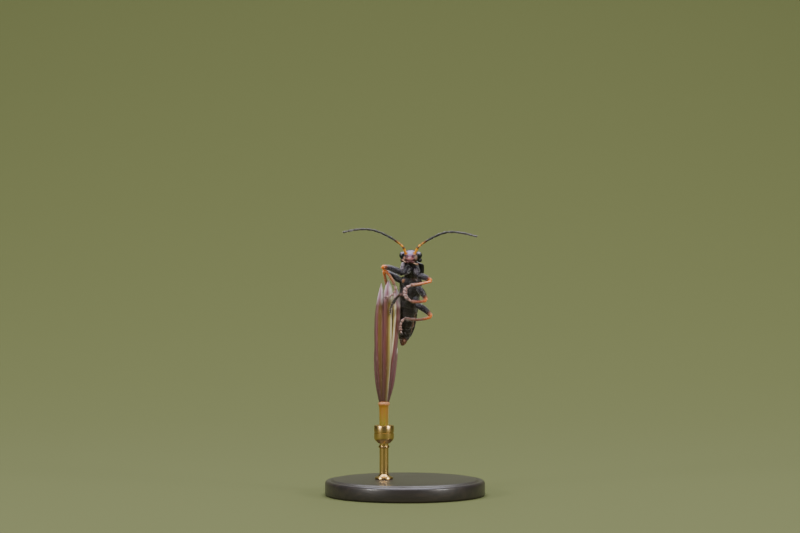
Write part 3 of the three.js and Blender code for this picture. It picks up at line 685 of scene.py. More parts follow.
def plate(name, columns, rows, column_move, row_move, thick):
    """A curved plate from a flat upright grid that is 2 wide and 1 high. Columns are moved first,
    then rows. A move is a translation and a scale: the scale, about the trunk's origin, comes first."""
    clear()
    bpy.ops.mesh.primitive_grid_add(
        x_subdivisions=columns, y_subdivisions=rows, size=2,
        location=(0, 0, 0.5), rotation=(math.radians(90), 0, 0),
    )
    made = bpy.context.object
    made.name = name
    made.scale = (1, 0.5, 1)
    bpy.ops.object.transform_apply()
    bpy.ops.object.mode_set(mode="EDIT")
    bpy.ops.mesh.select_mode(type="VERT")
    grid = {vertex.index: vertex.co.copy() for vertex in made.data.vertices}

    def shift(chosen, change):
        bpy.ops.mesh.select_all(action="DESELECT")
        shape = bmesh.from_edit_mesh(made.data)
        shape.verts.ensure_lookup_table()
        for index in chosen:
            shape.verts[index].select_set(True)
        translation, scale = change
        bpy.ops.transform.resize(value=scale, center_override=(0, 0, 0))
        bpy.ops.transform.translate(value=translation)

    for u in sorted({round(place.x, 4) for place in grid.values()}):
        shift([i for i, place in grid.items() if abs(place.x - u) < 1e-3], column_move(u))
    for v in sorted({round(place.z, 4) for place in grid.values()}):
        shift([i for i, place in grid.items() if abs(place.z - v) < 1e-3], row_move(v))
    face_outward(made)
    if sum(face.normal.y * face.area for face in made.data.polygons) < 0:
        edit_all(made)
        bpy.ops.mesh.flip_normals()
        bpy.ops.object.mode_set(mode="OBJECT")
    bpy.ops.object.modifier_add(type="SOLIDIFY")
    made.modifiers[-1].thickness = thick
    made.modifiers[-1].offset = -1
    bpy.ops.object.modifier_apply(modifier=made.modifiers[-1].name)
    return made


def shield_column(u):
    """The shield falls to its sides, turns up at its margins, and is shorter there."""
    side = smooth_step(abs(u), *PRONOTUM_SLOPE)
    rise = PRONOTUM_TOP - PRONOTUM_CROWN * side + PRONOTUM_RIM * smooth_step(abs(u), *PRONOTUM_UPTURN)
    shorter = 1 - PRONOTUM_ROUNDING * u * u / PRONOTUM_LENGTH
    return (0, rise, PRONOTUM_SWEEP * u * u), (1, 1, shorter * PRONOTUM_LENGTH)


def shield_row(v):
    """The shield narrows at its four corners, and its ends bend down a little."""
    off = abs(2 * v - 1)
    wide = PRONOTUM_HALF * (1 - PRONOTUM_CORNER * off ** 5) * (1 - PRONOTUM_NARROWING * v)
    return (0, -PRONOTUM_DIP * off ** 3, PRONOTUM_REAR), (wide, 1, 1)


shield = plate("pronotum_shield", PRONOTUM_COLUMNS, PRONOTUM_ROWS, shield_column, shield_row, PRONOTUM_THICK)
subdivide(shield, 2)
note(shield, "edge", lambda place: min(1.0, max(0.0, -place.x / PRONOTUM_HALF)))
glossy = matter("shield_chitin", (0.005, 0.0045, 0.0055), 0.32, coat=0.2)
# Pale margin on the left side only: its own pale colour and a painted reflection together.
edge = wavered(glossy, mark(glossy, "edge"), grain(glossy, 0.3), 0.12)
tint(glossy, (0.48, 0.38, 0.38), edge, (0.91, 0.0), (0.98, 1.0))
# Painted reflection: pale, streaked with dark, over the shield's left side.
streaked_reflection = graded(glossy, grain(glossy, 0.16), (0.4, (0.12, 0.09, 0.13)), (0.56, (0.60, 0.52, 0.62)))
tint(glossy, streaked_reflection, patch(glossy, TRUNK, (-1.1, 0.5, 2.2), (0.42, 0.6, 0.75)))
tint(glossy, (0.46, 0.40, 0.38), patch(glossy, TRUNK, (0.9, 0.45, 2.86), (0.5, 0.4, 0.16)))
relief(glossy, grain(glossy, 0.2), 0.02, 0.5)
placed(shield, TRUNK)
seat(shield, glossy, "shield", "pronotum")

# Wing covers: two long soft plates that meet in a straight seam over the back, dull black and
# finely wrinkled under short grey down, with faint ribs and a thin raised rim at the sides.
COVER_COLUMNS = 12
COVER_ROWS = 26
COVER_FRONT = 1.18
COVER_LENGTH = 6.3
COVER_HALF = 1.17
COVER_TOP = 0.94
COVER_FALL = 0.62
COVER_THICK = 0.12
COVER_RIM = 0.05
COVER_RIDGE = 0.02
COVER_RIDGES = 3
COVER_TAPER = 0.26
COVER_DROP = 0.22
COVER_ROUNDING = 0.64
COVER_DIP = 0.12
ROUNDED_LENGTH = 0.3
SHOULDER = 0.22
SHOULDER_LENGTH = 0.07
SEAM_HALF = 0.05
SEAM_GAPE = 0.2


def cover(side, name):
    """One wing cover, on side 1 or -1 of the seam. It rounds in at its shoulder and at its end."""

    def column_move(u):
        out = (1 + u) / 2
        rim = COVER_RIM * smooth_step(out, 0.93, 1.0)
        ridge = COVER_RIDGE * max(0.0, math.cos(math.tau * out * COVER_RIDGES)) * (1 - out)
        return (1 - u + out, COVER_TOP - COVER_FALL * out ** 2.3 + rim + ridge, 0), (1, 1, 1)

    def row_move(v):
        back = 1 - v
        end = max(0.0, (back + ROUNDED_LENGTH - 1) / ROUNDED_LENGTH)
        rounding = 1 - math.sqrt(1 - (0.96 * end) ** 2)
        shoulder = SHOULDER * max(0.0, 1 - back / SHOULDER_LENGTH) ** 2
        wide = COVER_HALF * (1 - COVER_TAPER * back) * (1 - shoulder) * (1 - COVER_ROUNDING * rounding)
        inner = SEAM_HALF + SEAM_GAPE * rounding * end
        rise = -COVER_DROP * end * end - COVER_DIP * v ** 14
        z = COVER_FRONT - COVER_LENGTH * back - v
        return (inner - (wide - inner), rise, z), (wide - inner, 1, 1)

    made = plate(name, COVER_COLUMNS, COVER_ROWS, column_move, row_move, COVER_THICK)
    if side < 0:
        made.data.transform(Matrix.Scale(-1, 4, (1, 0, 0)))
        made.data.flip_normals()
    subdivide(made, 1)
    return made


wrinkled = matter("wing_leather", (0.012, 0.0105, 0.010), 0.5)
relief(wrinkled, grain(wrinkled, 0.08, kind="Voronoi"), 0.02, 0.8)
relief(wrinkled, grain(wrinkled, 0.3, stretch=(1, 1, 2)), 0.04, 0.8)
tint(wrinkled, (0.06, 0.055, 0.05), grain(wrinkled, 0.02, stretch=(1, 1, 5)), (0.55, 0.0), (0.8, 0.5))
for side, name in ((1, "left"), (-1, "right")):
    wing = cover(side, f"wing_cover_{name}")
    placed(wing, TRUNK)
    lie_along(wing, TOWARDS_TAIL)
    seat(wing, wrinkled, "wing_cover", f"elytron_{name}")

# Scutellum: the small three-cornered plate between the roots of the wing covers, of the same dull
# black. Its edges are rounded over.
WEDGE_PLACE = (0, 0.86, 0.98)
WEDGE_RADIUS = 0.27
WEDGE_THICK = 0.3
WEDGE_EDGE = 0.05
clear()
bpy.ops.mesh.primitive_cylinder_add(
    vertices=3, radius=WEDGE_RADIUS, depth=WEDGE_THICK, location=WEDGE_PLACE,
    rotation=(math.radians(90), 0, 0),
)
wedge = bpy.context.object
wedge.name = "scutellum_plate"
bpy.ops.object.transform_apply()
edit_all(wedge)
bpy.ops.mesh.bevel(offset=WEDGE_EDGE, segments=3, affect="EDGES")
bpy.ops.object.mode_set(mode="OBJECT")
subdivide(wedge, 1)
placed(wedge, TRUNK)
seat(wedge, wrinkled, "wing_cover", "scutellum")

# Head: the hard capsule with its upper lip, the raised rims that the feelers stand in, and the
# neck that joins it to the forebody. Black and glossy above, under a painted lilac sheen, with a
# pinkish face that has a small painted highlight, and cream cheeks. The cheek on the beetle's left
# is painted dimmer, as shade.
HEAD = (
    Matrix.Translation((0.57, -1.62, 23.87))
    @ Matrix.Rotation(math.radians(-7), 4, "Z")
    @ Matrix.Rotation(math.radians(120), 4, "X")
)
SKULL_SIDES = 36
TEMPLE_SIDES = 16
LIP_SIDES = 20
NECK_SIDES = 28
BROW_RISE = 0.05
JOWL_RISE = 0.04
CROWN_GROOVE = (0, -0.04, 0)
SKULL = (
    (-0.72, 0.34, 0.28, 0, -0.02), (-0.62, 0.5, 0.4, 0, 0), (-0.44, 0.68, 0.53, 0, 0),
    (-0.2, 0.8, 0.6, 0, 0), (0.02, 0.87, 0.62, 0, 0), (0.2, 0.86, 0.6, 0, 0),
    (0.36, 0.79, 0.54, 0, 0), (0.48, 0.69, 0.46, 0, -0.03), (0.58, 0.6, 0.38, 0, -0.05),
    (0.67, 0.52, 0.29, 0, -0.07), (0.74, 0.42, 0.19, 0, -0.09), (0.77, 0.2, 0.08, 0, -0.1),
)
LIP = (
    (0.66, 0.3, 0.1, 0, -0.12), (0.74, 0.34, 0.1, 0, -0.14), (0.8, 0.32, 0.08, 0, -0.16),
    (0.845, 0.22, 0.05, 0, -0.17), (0.855, 0.1, 0.02, 0, -0.17),
)
TEMPLE = (
    (-0.45, 0.1, 0.74, -0.54), (-0.34, 0.2, 0.8, -0.54), (-0.16, 0.26, 0.84, -0.52),
    (0.02, 0.24, 0.84, -0.48), (0.16, 0.16, 0.8, -0.42), (0.24, 0.06, 0.76, -0.38),
)
SOCKET = (0.43, 0.46, 0.26)
SOCKET_RIM = 0.17
SOCKET_WIRE = 0.045
SOCKET_BROW = 0.02
SOCKET_TILT = math.radians(-58)
SOCKET_SPLAY = math.radians(28)
NECK_START = (0.0, -0.1, -0.2)
NECK_END = (0.0, 0.02, 2.45)
NECK_HALF = 0.5
NECK_FOLDS = 9
FOLD_START = 0.02
FOLD_STEP = 0.12
FOLD_WAIST = 0.93
PINK = (0.40, 0.14, 0.16)
CHEEK = (0.36, 0.19, 0.13)
SHADED_CHEEK = (0.19, 0.10, 0.065)
FACE_MARKS_AND_LIGHT = (
    # Painted sheen: a lilac reflection over the crown.
    ((0.0, 0.55, 0.2), (0.62, 0.36, 0.42), (0.19, 0.15, 0.27)),
    ((0.0, 0.16, 0.62), (0.5, 0.24, 0.3), PINK),
    ((0.0, 0.38, 0.5), (0.3, 0.14, 0.2), (0.20, 0.09, 0.16)),
    # Painted highlight: a pale pink glint in the middle of the face.
    ((-0.05, 0.2, 0.68), (0.2, 0.08, 0.1), (0.66, 0.36, 0.38)),
    # Painted shade: the cheek on the beetle's left is a dimmer copy of the other.
    ((0.55, 0.1, 0.44), (0.19, 0.3, 0.28), SHADED_CHEEK),
    ((-0.54, 0.06, 0.44), (0.2, 0.22, 0.26), CHEEK),
    ((0.43, 0.5, 0.3), (0.24, 0.18, 0.24), (0.30, 0.10, 0.01)),
    ((-0.43, 0.5, 0.3), (0.24, 0.18, 0.24), (0.30, 0.10, 0.01)),
    ((0.3, 0.3, 0.53), (0.21, 0.19, 0.26), (0.05, 0.002, 0.009)),
    ((-0.3, 0.3, 0.53), (0.21, 0.19, 0.26), (0.05, 0.002, 0.009)),
    ((0.0, -0.1, 0.5), (0.72, 0.13, 0.5), (0.08, 0.005, 0.003)),
    ((0.0, -0.1, 0.82), (0.5, 0.1, 0.16), (0.06, 0.006, 0.004)),
    ((0.0, -0.5, 0.3), (0.5, 0.2, 0.4), (0.08, 0.03, 0.02)),
)

skull = loft("head_capsule", SKULL, SKULL_SIDES)
swell(skull, lambda place: abs(place.x) < 0.4 and place.y > 0.02 and 0.44 < place.z < 0.72, BROW_RISE)
move(skull, lambda place: abs(place.x) < 0.06 and place.y > 0.35 and place.z < 0.3, CROWN_GROOVE)
swell(skull, lambda place: 0.45 < abs(place.x) and place.y < -0.1 and 0.3 < place.z < 0.6, JOWL_RISE)
subdivide(skull, 2)
lip = loft("lip", LIP, LIP_SIDES)
subdivide(lip, 1)
head_parts = [skull, lip]
for side in (-1, 1):
    temple = loft("temple", [(z, w, w, side * x, y) for z, w, x, y in TEMPLE], TEMPLE_SIDES)
    subdivide(temple, 1)
    head_parts.append(temple)
for side in (-1, 1):
    clear()
    x, y, z = SOCKET
    bpy.ops.mesh.primitive_torus_add(
        major_radius=SOCKET_RIM, minor_radius=SOCKET_WIRE, major_segments=28, minor_segments=10,
        location=(side * x, y, z), rotation=(SOCKET_TILT, side * SOCKET_SPLAY, 0),
    )
    rim = bpy.context.object
    bpy.ops.object.transform_apply()
    swell(rim, lambda place: place.y > y + 0.06, SOCKET_BROW)
    bpy.ops.object.shade_smooth()
    head_parts.append(rim)
head_skin = join(head_parts, "head_skin")
placed(head_skin, HEAD)
neck_from = HEAD @ Vector(NECK_START)
neck_way = TRUNK @ Vector(NECK_END) - neck_from
folds = [(FOLD_START + FOLD_STEP * i, NECK_HALF * (1 if i % 2 else FOLD_WAIST)) for i in range(NECK_FOLDS)]
neck = turned_form("neck", folds, NECK_SIDES)
subdivide(neck, 1)
neck_turn = neck_way.to_track_quat("Z", "Y").to_matrix().to_4x4()
placed(neck, Matrix.Translation(neck_from) @ neck_turn @ Matrix.Diagonal((1, 1, neck_way.length, 1)))
head_skin = join([head_skin, neck], "head_skin")
face = matter("face_chitin", (0.006, 0.005, 0.007), 0.48)
for centre, size, colour in FACE_MARKS_AND_LIGHT:
    tint(face, colour, patch(face, HEAD, centre, size, soft=0.35))
relief(face, grain(face, 0.04, kind="Voronoi"), 0.008, 0.6)
relief(face, grain(face, 0.12), 0.02, 0.5)
seat(head_skin, face, "body_black", "head")

# Eyes: bulging, glossy black and finely faceted, one on each side of the head, and flatter where
# they stand in it. A pale blue sheen lies on their upper half.
EYE_PLACE = (0.79, 0.11, 0.04)
EYE_RADIUS = 0.35
EYE_ROOT = 0.12
ROOT_SHARE = (0.6, 0.92, 0.92)
OVAL_SHARE = (0.96, 1.04, 0.96)
SHEEN_PLACE = (0.82, 0.47, 0.02)
SHEEN_SIZE = (0.34, 0.14, 0.34)
eye_gloss = matter("eye_gloss", (0.002, 0.002, 0.005), 0.34, coat=0.1)
relief(eye_gloss, grain(eye_gloss, 0.028, kind="Voronoi"), 0.004, 0.8)
for side in (-1, 1):
    x, y, z = SHEEN_PLACE
    tint(eye_gloss, (0.20, 0.18, 0.27), patch(eye_gloss, HEAD, (side * x, y, z), SHEEN_SIZE))
for side, name in ((1, "left"), (-1, "right")):
    clear()
    bpy.ops.mesh.primitive_uv_sphere_add(segments=40, ring_count=24, radius=EYE_RADIUS)
    eye = bpy.context.object
    eye.name = f"eye_ball_{name}"
    stretch_part(eye, lambda place: place.x * side < -EYE_ROOT, ROOT_SHARE, (-EYE_ROOT * side, 0, 0))
    stretch_part(eye, lambda place: abs(place.y) > 0.2, OVAL_SHARE)
    bpy.ops.object.shade_smooth()
    x, y, z = EYE_PLACE
    placed(eye, HEAD @ Matrix.Translation((side * x, y, z)))
    seat(eye, eye_gloss, "eye", f"eye_{name}")

# Jaws: a pair of smooth dark red-brown hooks that nearly meet below the upper lip. Each is a bent,
# tapering form rooted in the head.
JAW = (
    (0.58, 0.12, 0.1, 0.31, -0.2), (0.68, 0.15, 0.12, 0.33, -0.2), (0.78, 0.14, 0.11, 0.31, -0.21),
    (0.86, 0.11, 0.09, 0.25, -0.22), (0.92, 0.075, 0.06, 0.17, -0.22), (0.95, 0.05, 0.045, 0.1, -0.22),
    (0.965, 0.025, 0.02, 0.07, -0.22),
)
JAW_SIDES = 16
jaw_chitin = matter("jaw_chitin", (0.06, 0.006, 0.003), 0.46)
relief(jaw_chitin, grain(jaw_chitin, 0.06), 0.006, 0.5)
for side, name in ((1, "left"), (-1, "right")):
    jaw = loft(f"jaw_{name}", [(z, w, d, side * x, y) for z, w, d, x, y in JAW], JAW_SIDES)
    subdivide(jaw, 1)
    placed(jaw, HEAD)
    seat(jaw, jaw_chitin, "jaw", f"mandible_{name}")

# Palps: two jointed feeling palps beside the jaws, pinkish beige, the last joint of each broad and
# cut off aslant like an axe. Their joints are copies of one waisted form.
TOWARDS_VIEWER = Vector((0, -1, 0))
JOINT = (
    (0.0, 0.24), (0.03, 0.31), (0.1, 0.36), (0.35, 0.42), (0.7, 0.48), (0.9, 0.5), (0.96, 0.46),
    (0.99, 0.36), (1.0, 0.2),
)
PALP_RUNS = (
    ((0.2, -0.3, 0.5), (0.32, -0.3, 0.85), (0.55, -0.4, 0.82), (0.7, -0.58, 0.66)),
    ((-0.2, -0.3, 0.5), (-0.45, -0.26, 0.76), (-0.62, -0.16, 0.74), (-0.78, 0.0, 0.62)),
)
PALP_WIDTHS = (0.14, 0.14, 0.2)
PALP_FLAT = 0.8
AXE_CORNER = (0.25, 0, 0.25)


def template(name, outline, sides):
    """A form 1 long and 1 wide, to be copied with lay. It is removed once its copies are made."""
    made = turned_form(name, outline, sides)
    subdivide(made, 1)
    return made


def lay(form, start, end, wide, deep, span=(0.0, 1.0), bow=(0.0, 0.0, 0.0)):
    """A copy of a form with its own mesh, laid from start to end. Its attribute along runs from
    the first to the second value of span, and its middle is moved by bow."""
    copy = form.copy()
    copy.data = form.data.copy()
    bpy.context.collection.objects.link(copy)
    low, high = span
    note(copy, "along", lambda place: low + (high - low) * place.z)
    ahead = (end - start).normalized()
    across = TOWARDS_VIEWER.cross(ahead).normalized()
    outward = ahead.cross(across)
    turn = Matrix((across, outward, ahead)).transposed().to_4x4()
    size = Matrix.Diagonal((wide, deep, (end - start).length, 1))
    swing = [Vector(bow) * math.sin(math.pi * vertex.co.z) for vertex in copy.data.vertices]
    copy.data.transform(Matrix.Translation(start) @ turn @ size)
    for vertex, bent in zip(copy.data.vertices, swing):
        vertex.co += bent
    lie_along(copy, ahead)
    return copy


def discard(*forms):
    """Removes templates that have been copied."""
    for form in forms:
        bpy.data.objects.remove(form)


joint = template("joint", JOINT, 12)
axe = template("axe", JOINT, 14)
move(axe, lambda place: place.x > 0.1 and place.z > 0.5, AXE_CORNER)
palps = []
for places in PALP_RUNS:
    run = [HEAD @ Vector(place) for place in places]
    for i, wide in enumerate(PALP_WIDTHS):
        form = axe if i == 2 else joint
        palps.append(lay(form, run[i], run[i + 1], wide, wide * PALP_FLAT, (i / 3, (i + 1) / 3)))
palp_skin = join(palps, "palps")
discard(axe)
beige = matter("palp_beige", (0.42, 0.26, 0.18), 0.4, coat=0.2)
tint(beige, (0.14, 0.05, 0.03), mark(beige, "along"), (0.0, 0.9), (0.35, 0.1), (0.7, 0.0), (1.0, 0.7))
relief(beige, grain(beige, 0.05), 0.008)
seat(palp_skin, beige, "body_black")

# Feelers: two long threads of eleven slim joints each, the first of them rooted in the head's
# socket. Three joints are clear orange with dark marks, and the rest are black under grey down.
FEELER_RUNS = {
    "left": ((1.08, -2.25, 24.42), (1.42, -2.32, 24.9), (2.57, -2.4, 25.63), (4.1, -2.65, 26.24),
             (5.63, -3.1, 26.15), (7.11, -3.7, 25.78)),
    "right": ((0.0, -2.25, 24.4), (-0.34, -2.32, 24.95), (-1.64, -2.4, 25.83), (-3.17, -2.6, 26.45),
              (-4.7, -3.0, 26.5), (-6.14, -3.6, 26.2)),
}
FEELER_ENDS = (0.0, 0.11, 0.17, 0.26, 0.36, 0.46, 0.56, 0.655, 0.745, 0.835, 0.92, 0.997)
FEELER_WIDTHS = (0.28, 0.23, 0.25, 0.26, 0.26, 0.255, 0.25, 0.245, 0.24, 0.23, 0.21)
ORANGE_JOINTS = 3
FEELER_STEPS = 200
FEELER_SINK = 0.04
clear_orange = matter("feeler_orange", (0.84, 0.32, 0.012), 0.4, coat=0.15)
tone = wavered(clear_orange, mark(clear_orange, "along"), grain(clear_orange, 0.1), 0.08)
tint(clear_orange, (0.035, 0.006, 0.002), tone, (0.27, 0.0), (0.35, 1.0), (0.4, 0.9), (0.45, 0.0),
     (0.6, 0.1), (0.68, 1.0), (0.74, 0.3), (0.86, 0.8), (1.0, 1.0))
relief(clear_orange, grain(clear_orange, 0.04), 0.008)
downy_black = matter("feeler_black", (0.006, 0.005, 0.0055), 0.55)
tone = wavered(downy_black, mark(downy_black, "along"), grain(downy_black, 0.03), 0.35)
tint(downy_black, (0.075, 0.06, 0.06), tone, (0.3, 0.0), (1.0, 0.6))
relief(downy_black, grain(downy_black, 0.02, stretch=(3, 1, 1)), 0.012)
for name, side in (("left", 1), ("right", -1)):
    x, y, z = SOCKET
    root = HEAD @ Vector((side * x, y - FEELER_SINK, z - FEELER_SINK))
    line = run_through([root, *FEELER_RUNS[name]], FEELER_STEPS)
    ends = [line[round(share * FEELER_STEPS)] for share in FEELER_ENDS]
    joints = []
    for i, wide in enumerate(FEELER_WIDTHS):
        count = ORANGE_JOINTS if i < ORANGE_JOINTS else len(FEELER_WIDTHS) - ORANGE_JOINTS
        first = i if i < ORANGE_JOINTS else i - ORANGE_JOINTS
        span = (first / count, (first + 1) / count)
        joints.append(lay(joint, ends[i], ends[i + 1], wide, wide, span))
    foot = join(joints[:ORANGE_JOINTS], f"feeler_{name}_foot")
    seat(foot, clear_orange, "orange", f"antenna_{name}_base")
    whip = join(joints[ORANGE_JOINTS:], f"feeler_{name}_whip")
    seat(whip, downy_black, "feeler_black", f"antenna_{name}_flagellum")

# Legs: six, each a cone-shaped hip joint in the breast, a small ring joint, a black spindle thigh
# with an orange knee, a slim orange shin with two spurs, a five-jointed foot and two claws.
LEG_WIDTHS = {"hip": 0.74, "ring": 0.5, "thigh": 0.68, "shin": 0.34, "foot": 0.32, "toe": 0.24}
FOOT_ENDS = (0.0, 0.3, 0.5, 0.67, 0.84, 1.0)
LEGS = {
    "front_right": {
        "thigh": "orange", "rise": (-0.05, 0.0, 0.16), "sag": (0.1, 0.0, 0.08),
        "root": (-0.26, -0.3, 2.35), "hip": (-0.1, -1.72, 22.1), "knee": (-2.33, -1.55, 22.83),
        "ankle": (-1.05, -1.35, 21.05), "claws": (-2.1, -0.8, 19.62), "shin": "orange",
        "foot": ((-0.88, -1.25, 20.6), (-1.1, -1.18, 20.2), (-1.45, -1.1, 19.92), (-1.85, -1.0, 19.8)),
    },
    "front_left": {
        "thigh": "orange", "rise": (0.03, 0.0, 0.1), "sag": (0.0, 0.0, -0.06),
        "root": (0.26, -0.3, 2.35), "hip": (1.25, -1.72, 21.95), "knee": (2.62, -2.2, 21.4),
        "ankle": (0.6, -3.3, 21.0), "claws": (0.3, -3.3, 19.45), "shin": "orange",
        "foot": ((-0.02, -3.42, 20.72), (-0.12, -3.45, 20.33), (-0.04, -3.45, 19.98), (0.1, -3.42, 19.7)),
    },
    "middle_right": {
        "thigh": "orange", "rise": (0.0, 0.0, 0.08), "sag": (0.0, 0.0, 0.0),
        "root": (-0.36, -0.4, 0.72), "hip": (-0.35, -1.1, 21.35), "knee": (-2.15, -0.35, 22.45),
        "ankle": (-1.75, 0.95, 20.6), "claws": (-1.72, 0.78, 18.8), "shin": "orange",
        "foot": ((-1.7, 1.05, 20.15), (-1.66, 1.05, 19.75), (-1.66, 1.0, 19.4), (-1.68, 0.95, 19.1)),
    },
    "middle_left": {
        "thigh": "orange", "rise": (0.1, 0.0, 0.05), "sag": (0.0, 0.0, -0.06),
        "root": (0.36, -0.4, 0.6), "hip": (1.2, -1.42, 20.85), "knee": (2.1, -1.6, 19.45),
        "ankle": (0.62, -2.78, 19.38), "claws": (0.25, -2.72, 20.9), "shin": "red",
        "foot": ((0.24, -2.85, 19.72), (0.08, -2.85, 20.02), (0.08, -2.85, 20.35), (0.14, -2.82, 20.62)),
    },
    "hind_right": {
        "thigh": "dark", "rise": (0.0, 0.0, 0.0), "sag": (-0.05, 0.0, 0.08),
        "root": (-0.4, -0.36, -0.66), "hip": (-0.02, -1.3, 19.6), "knee": (-0.42, -2.2, 20.1),
        "ankle": (-1.18, -1.2, 19.2), "claws": (-1.43, -0.78, 17.95), "shin": "dark",
        "foot": ((-1.38, -1.02, 18.92), (-1.45, -0.94, 18.68), (-1.47, -0.92, 18.45), (-1.46, -0.9, 18.22)),
    },
    "hind_left": {
        "thigh": "orange", "rise": (0.1, 0.0, 0.1), "sag": (0.05, 0.0, -0.22),
        "root": (0.42, -0.36, -0.66), "hip": (1.12, -1.05, 19.05), "knee": (2.65, -1.15, 17.85),
        "ankle": (-0.02, -1.1, 17.7), "claws": (-0.3, -0.42, 15.95), "shin": "dim",
        "foot": ((-0.35, -0.98, 17.4), (-0.44, -0.86, 17.0), (-0.44, -0.72, 16.6), (-0.4, -0.6, 16.25)),
    },
}
PAD = ((0.0, 0.16), (0.06, 0.22), (0.3, 0.29), (0.6, 0.4), (0.86, 0.52), (0.95, 0.5), (1.0, 0.24))
LEG_FORMS = {
    "cone": (16, ((0.0, 0.4), (0.12, 0.48), (0.4, 0.5), (0.7, 0.42), (0.88, 0.32), (0.97, 0.24),
                  (1.0, 0.12))),
    "ring": (14, ((0.0, 0.2), (0.1, 0.38), (0.4, 0.5), (0.7, 0.46), (0.92, 0.34), (1.0, 0.16))),
    "spindle": (18, ((0.0, 0.28), (0.04, 0.4), (0.12, 0.47), (0.28, 0.5), (0.5, 0.45), (0.72, 0.37),
                     (0.88, 0.31), (0.95, 0.3), (0.985, 0.24), (1.0, 0.1))),
    "shaft": (14, ((0.0, 0.2), (0.02, 0.36), (0.06, 0.44), (0.12, 0.4), (0.4, 0.4), (0.7, 0.44),
                   (0.9, 0.5), (0.96, 0.5), (0.99, 0.4), (1.0, 0.2))),
    "pad": (12, PAD),
    "lobes": (12, PAD),
    "spur": (5, ((0.0, 0.5), (0.4, 0.36), (0.8, 0.18), (1.0, 0.03))),
}
HOOK = ((0.0, 0.5, 0.0), (0.25, 0.48, 0.1), (0.5, 0.38, 0.12), (0.75, 0.24, 0.02), (1.0, 0.04, -0.22))
TOES = 5
LOBED_TOE = 3
LOBE_WIDER = 1.15
LOBE_CLEFT = (0, 0, -0.3)
LOBE_SPREAD = (1.25, 1, 1)
LEG_FLAT = 0.9
TOE_FLAT = 0.7
RING_REACH = (0.14, 0.2)
THIGH_START = 0.03
HIP_SPAN = (0.0, 0.3)
TIP_SPAN = (0.9, 1.0)
FOOT_STEPS = 100
SPUR_LENGTH = 0.24
SPUR_WIDE = 0.06
SPUR_ROOT = 0.04
SPURS_APART = (0.12, 0.05)
CLAW_WIDE = 0.1
CLAW_DEEP = 0.09
CLAW_REACH = (-0.2, 0.9)
CLAWS_APART = (0.03, 0.1)
ORANGE = (0.80, 0.19, 0.004)
ROSE_BROWN = (0.24, 0.10, 0.06)
KNEES = {"orange": (1.0, ORANGE), "dark": (0.6, (0.08, 0.025, 0.01))}
THIGH_SHINE = 0.32
THIGH_MARKS = (
    ((-0.3, -0.9, 1.5), (0.7, 0.8, 0.4), (0.10, 0.034, 0.010)),
    ((-0.8, -0.5, 0.95), (0.2, 0.45, 0.32), (0.24, 0.09, 0.02)),
    ((0.35, -0.9, 2.0), (0.35, 0.5, 0.5), (0.05, 0.04, 0.05)),
)
SHINS = {
    "orange": ((0.0, ORANGE), (0.35, (0.52, 0.11, 0.008)), (0.7, (0.34, 0.11, 0.03)), (1.0, ROSE_BROWN)),
    "dim": ((0.0, ORANGE), (0.18, (0.56, 0.12, 0.008)), (0.42, (0.17, 0.06, 0.03)),
            (1.0, (0.13, 0.06, 0.045))),
    "red": ((0.0, ORANGE), (0.2, (0.50, 0.10, 0.01)), (0.5, (0.24, 0.04, 0.012)), (1.0, (0.26, 0.10, 0.06))),
    "dark": ((0.0, (0.10, 0.03, 0.01)), (0.3, (0.03, 0.012, 0.008)), (1.0, (0.02, 0.010, 0.007))),
}
FEET = {
    "pale": ((0.48, 0.26, 0.23), (0.05, 0.012, 0.014)),
    "dark": ((0.05, 0.022, 0.015), (0.02, 0.008, 0.006)),
}

forms = {name: template(name, outline, sides) for name, (sides, outline) in LEG_FORMS.items()}
move(forms["lobes"], lambda place: abs(place.x) < 0.16 and place.z > 0.55, LOBE_CLEFT)
stretch_part(forms["lobes"], lambda place: abs(place.x) > 0.3 and place.z > 0.55, LOBE_SPREAD)
forms["hook"] = loft("hook", [(z, half, half, x, 0.0) for z, half, x in HOOK], 10)
subdivide(forms["hook"], 1)

leg_matter = {}
for kind, (amount, colour) in KNEES.items():
    thigh_black = matter(f"thigh_{kind}", (0.008, 0.0045, 0.009), 0.34, coat=0.05)
    tone = wavered(thigh_black, mark(thigh_black, "along"), grain(thigh_black, 0.12), 0.06)
    tint(thigh_black, colour, tone, (0.7, 0.0), (0.84, amount * 0.25), (0.97, amount))
    for centre, size, brown in THIGH_MARKS:
        tint(thigh_black, brown, patch(thigh_black, TRUNK, centre, size))
    relief(thigh_black, grain(thigh_black, 0.05, kind="Voronoi"), 0.01, 0.7)
    relief(thigh_black, grain(thigh_black, 0.2), 0.03, 0.8)
    shader = thigh_black.node_tree.nodes["Principled BSDF"]
    shader.inputs["Specular IOR Level"].default_value = THIGH_SHINE
    leg_matter["thigh", kind] = thigh_black
for kind, stops in SHINS.items():
    smooth_shin = matter(f"shin_{kind}", ORANGE, 0.4, coat=0.12)
    tone = wavered(smooth_shin, mark(smooth_shin, "along"), grain(smooth_shin, 0.1), 0.08)
    tint(smooth_shin, graded(smooth_shin, tone, *stops), 1.0)
    relief(smooth_shin, grain(smooth_shin, 0.03, stretch=(1, 1, 2)), 0.01)
    leg_matter["shin", kind] = smooth_shin
for kind, (colour, shade) in FEET.items():
    horny = matter(f"foot_{kind}", colour, 0.42, coat=0.2)
    tint(horny, shade, mark(horny, "along"), (0.0, 0.9), (0.15, 0.5), (0.4, 0.1), (0.75, 0.1),
         (0.92, 0.85), (1.0, 1.0))
    relief(horny, grain(horny, 0.03), 0.01)
    leg_matter["foot", kind] = horny

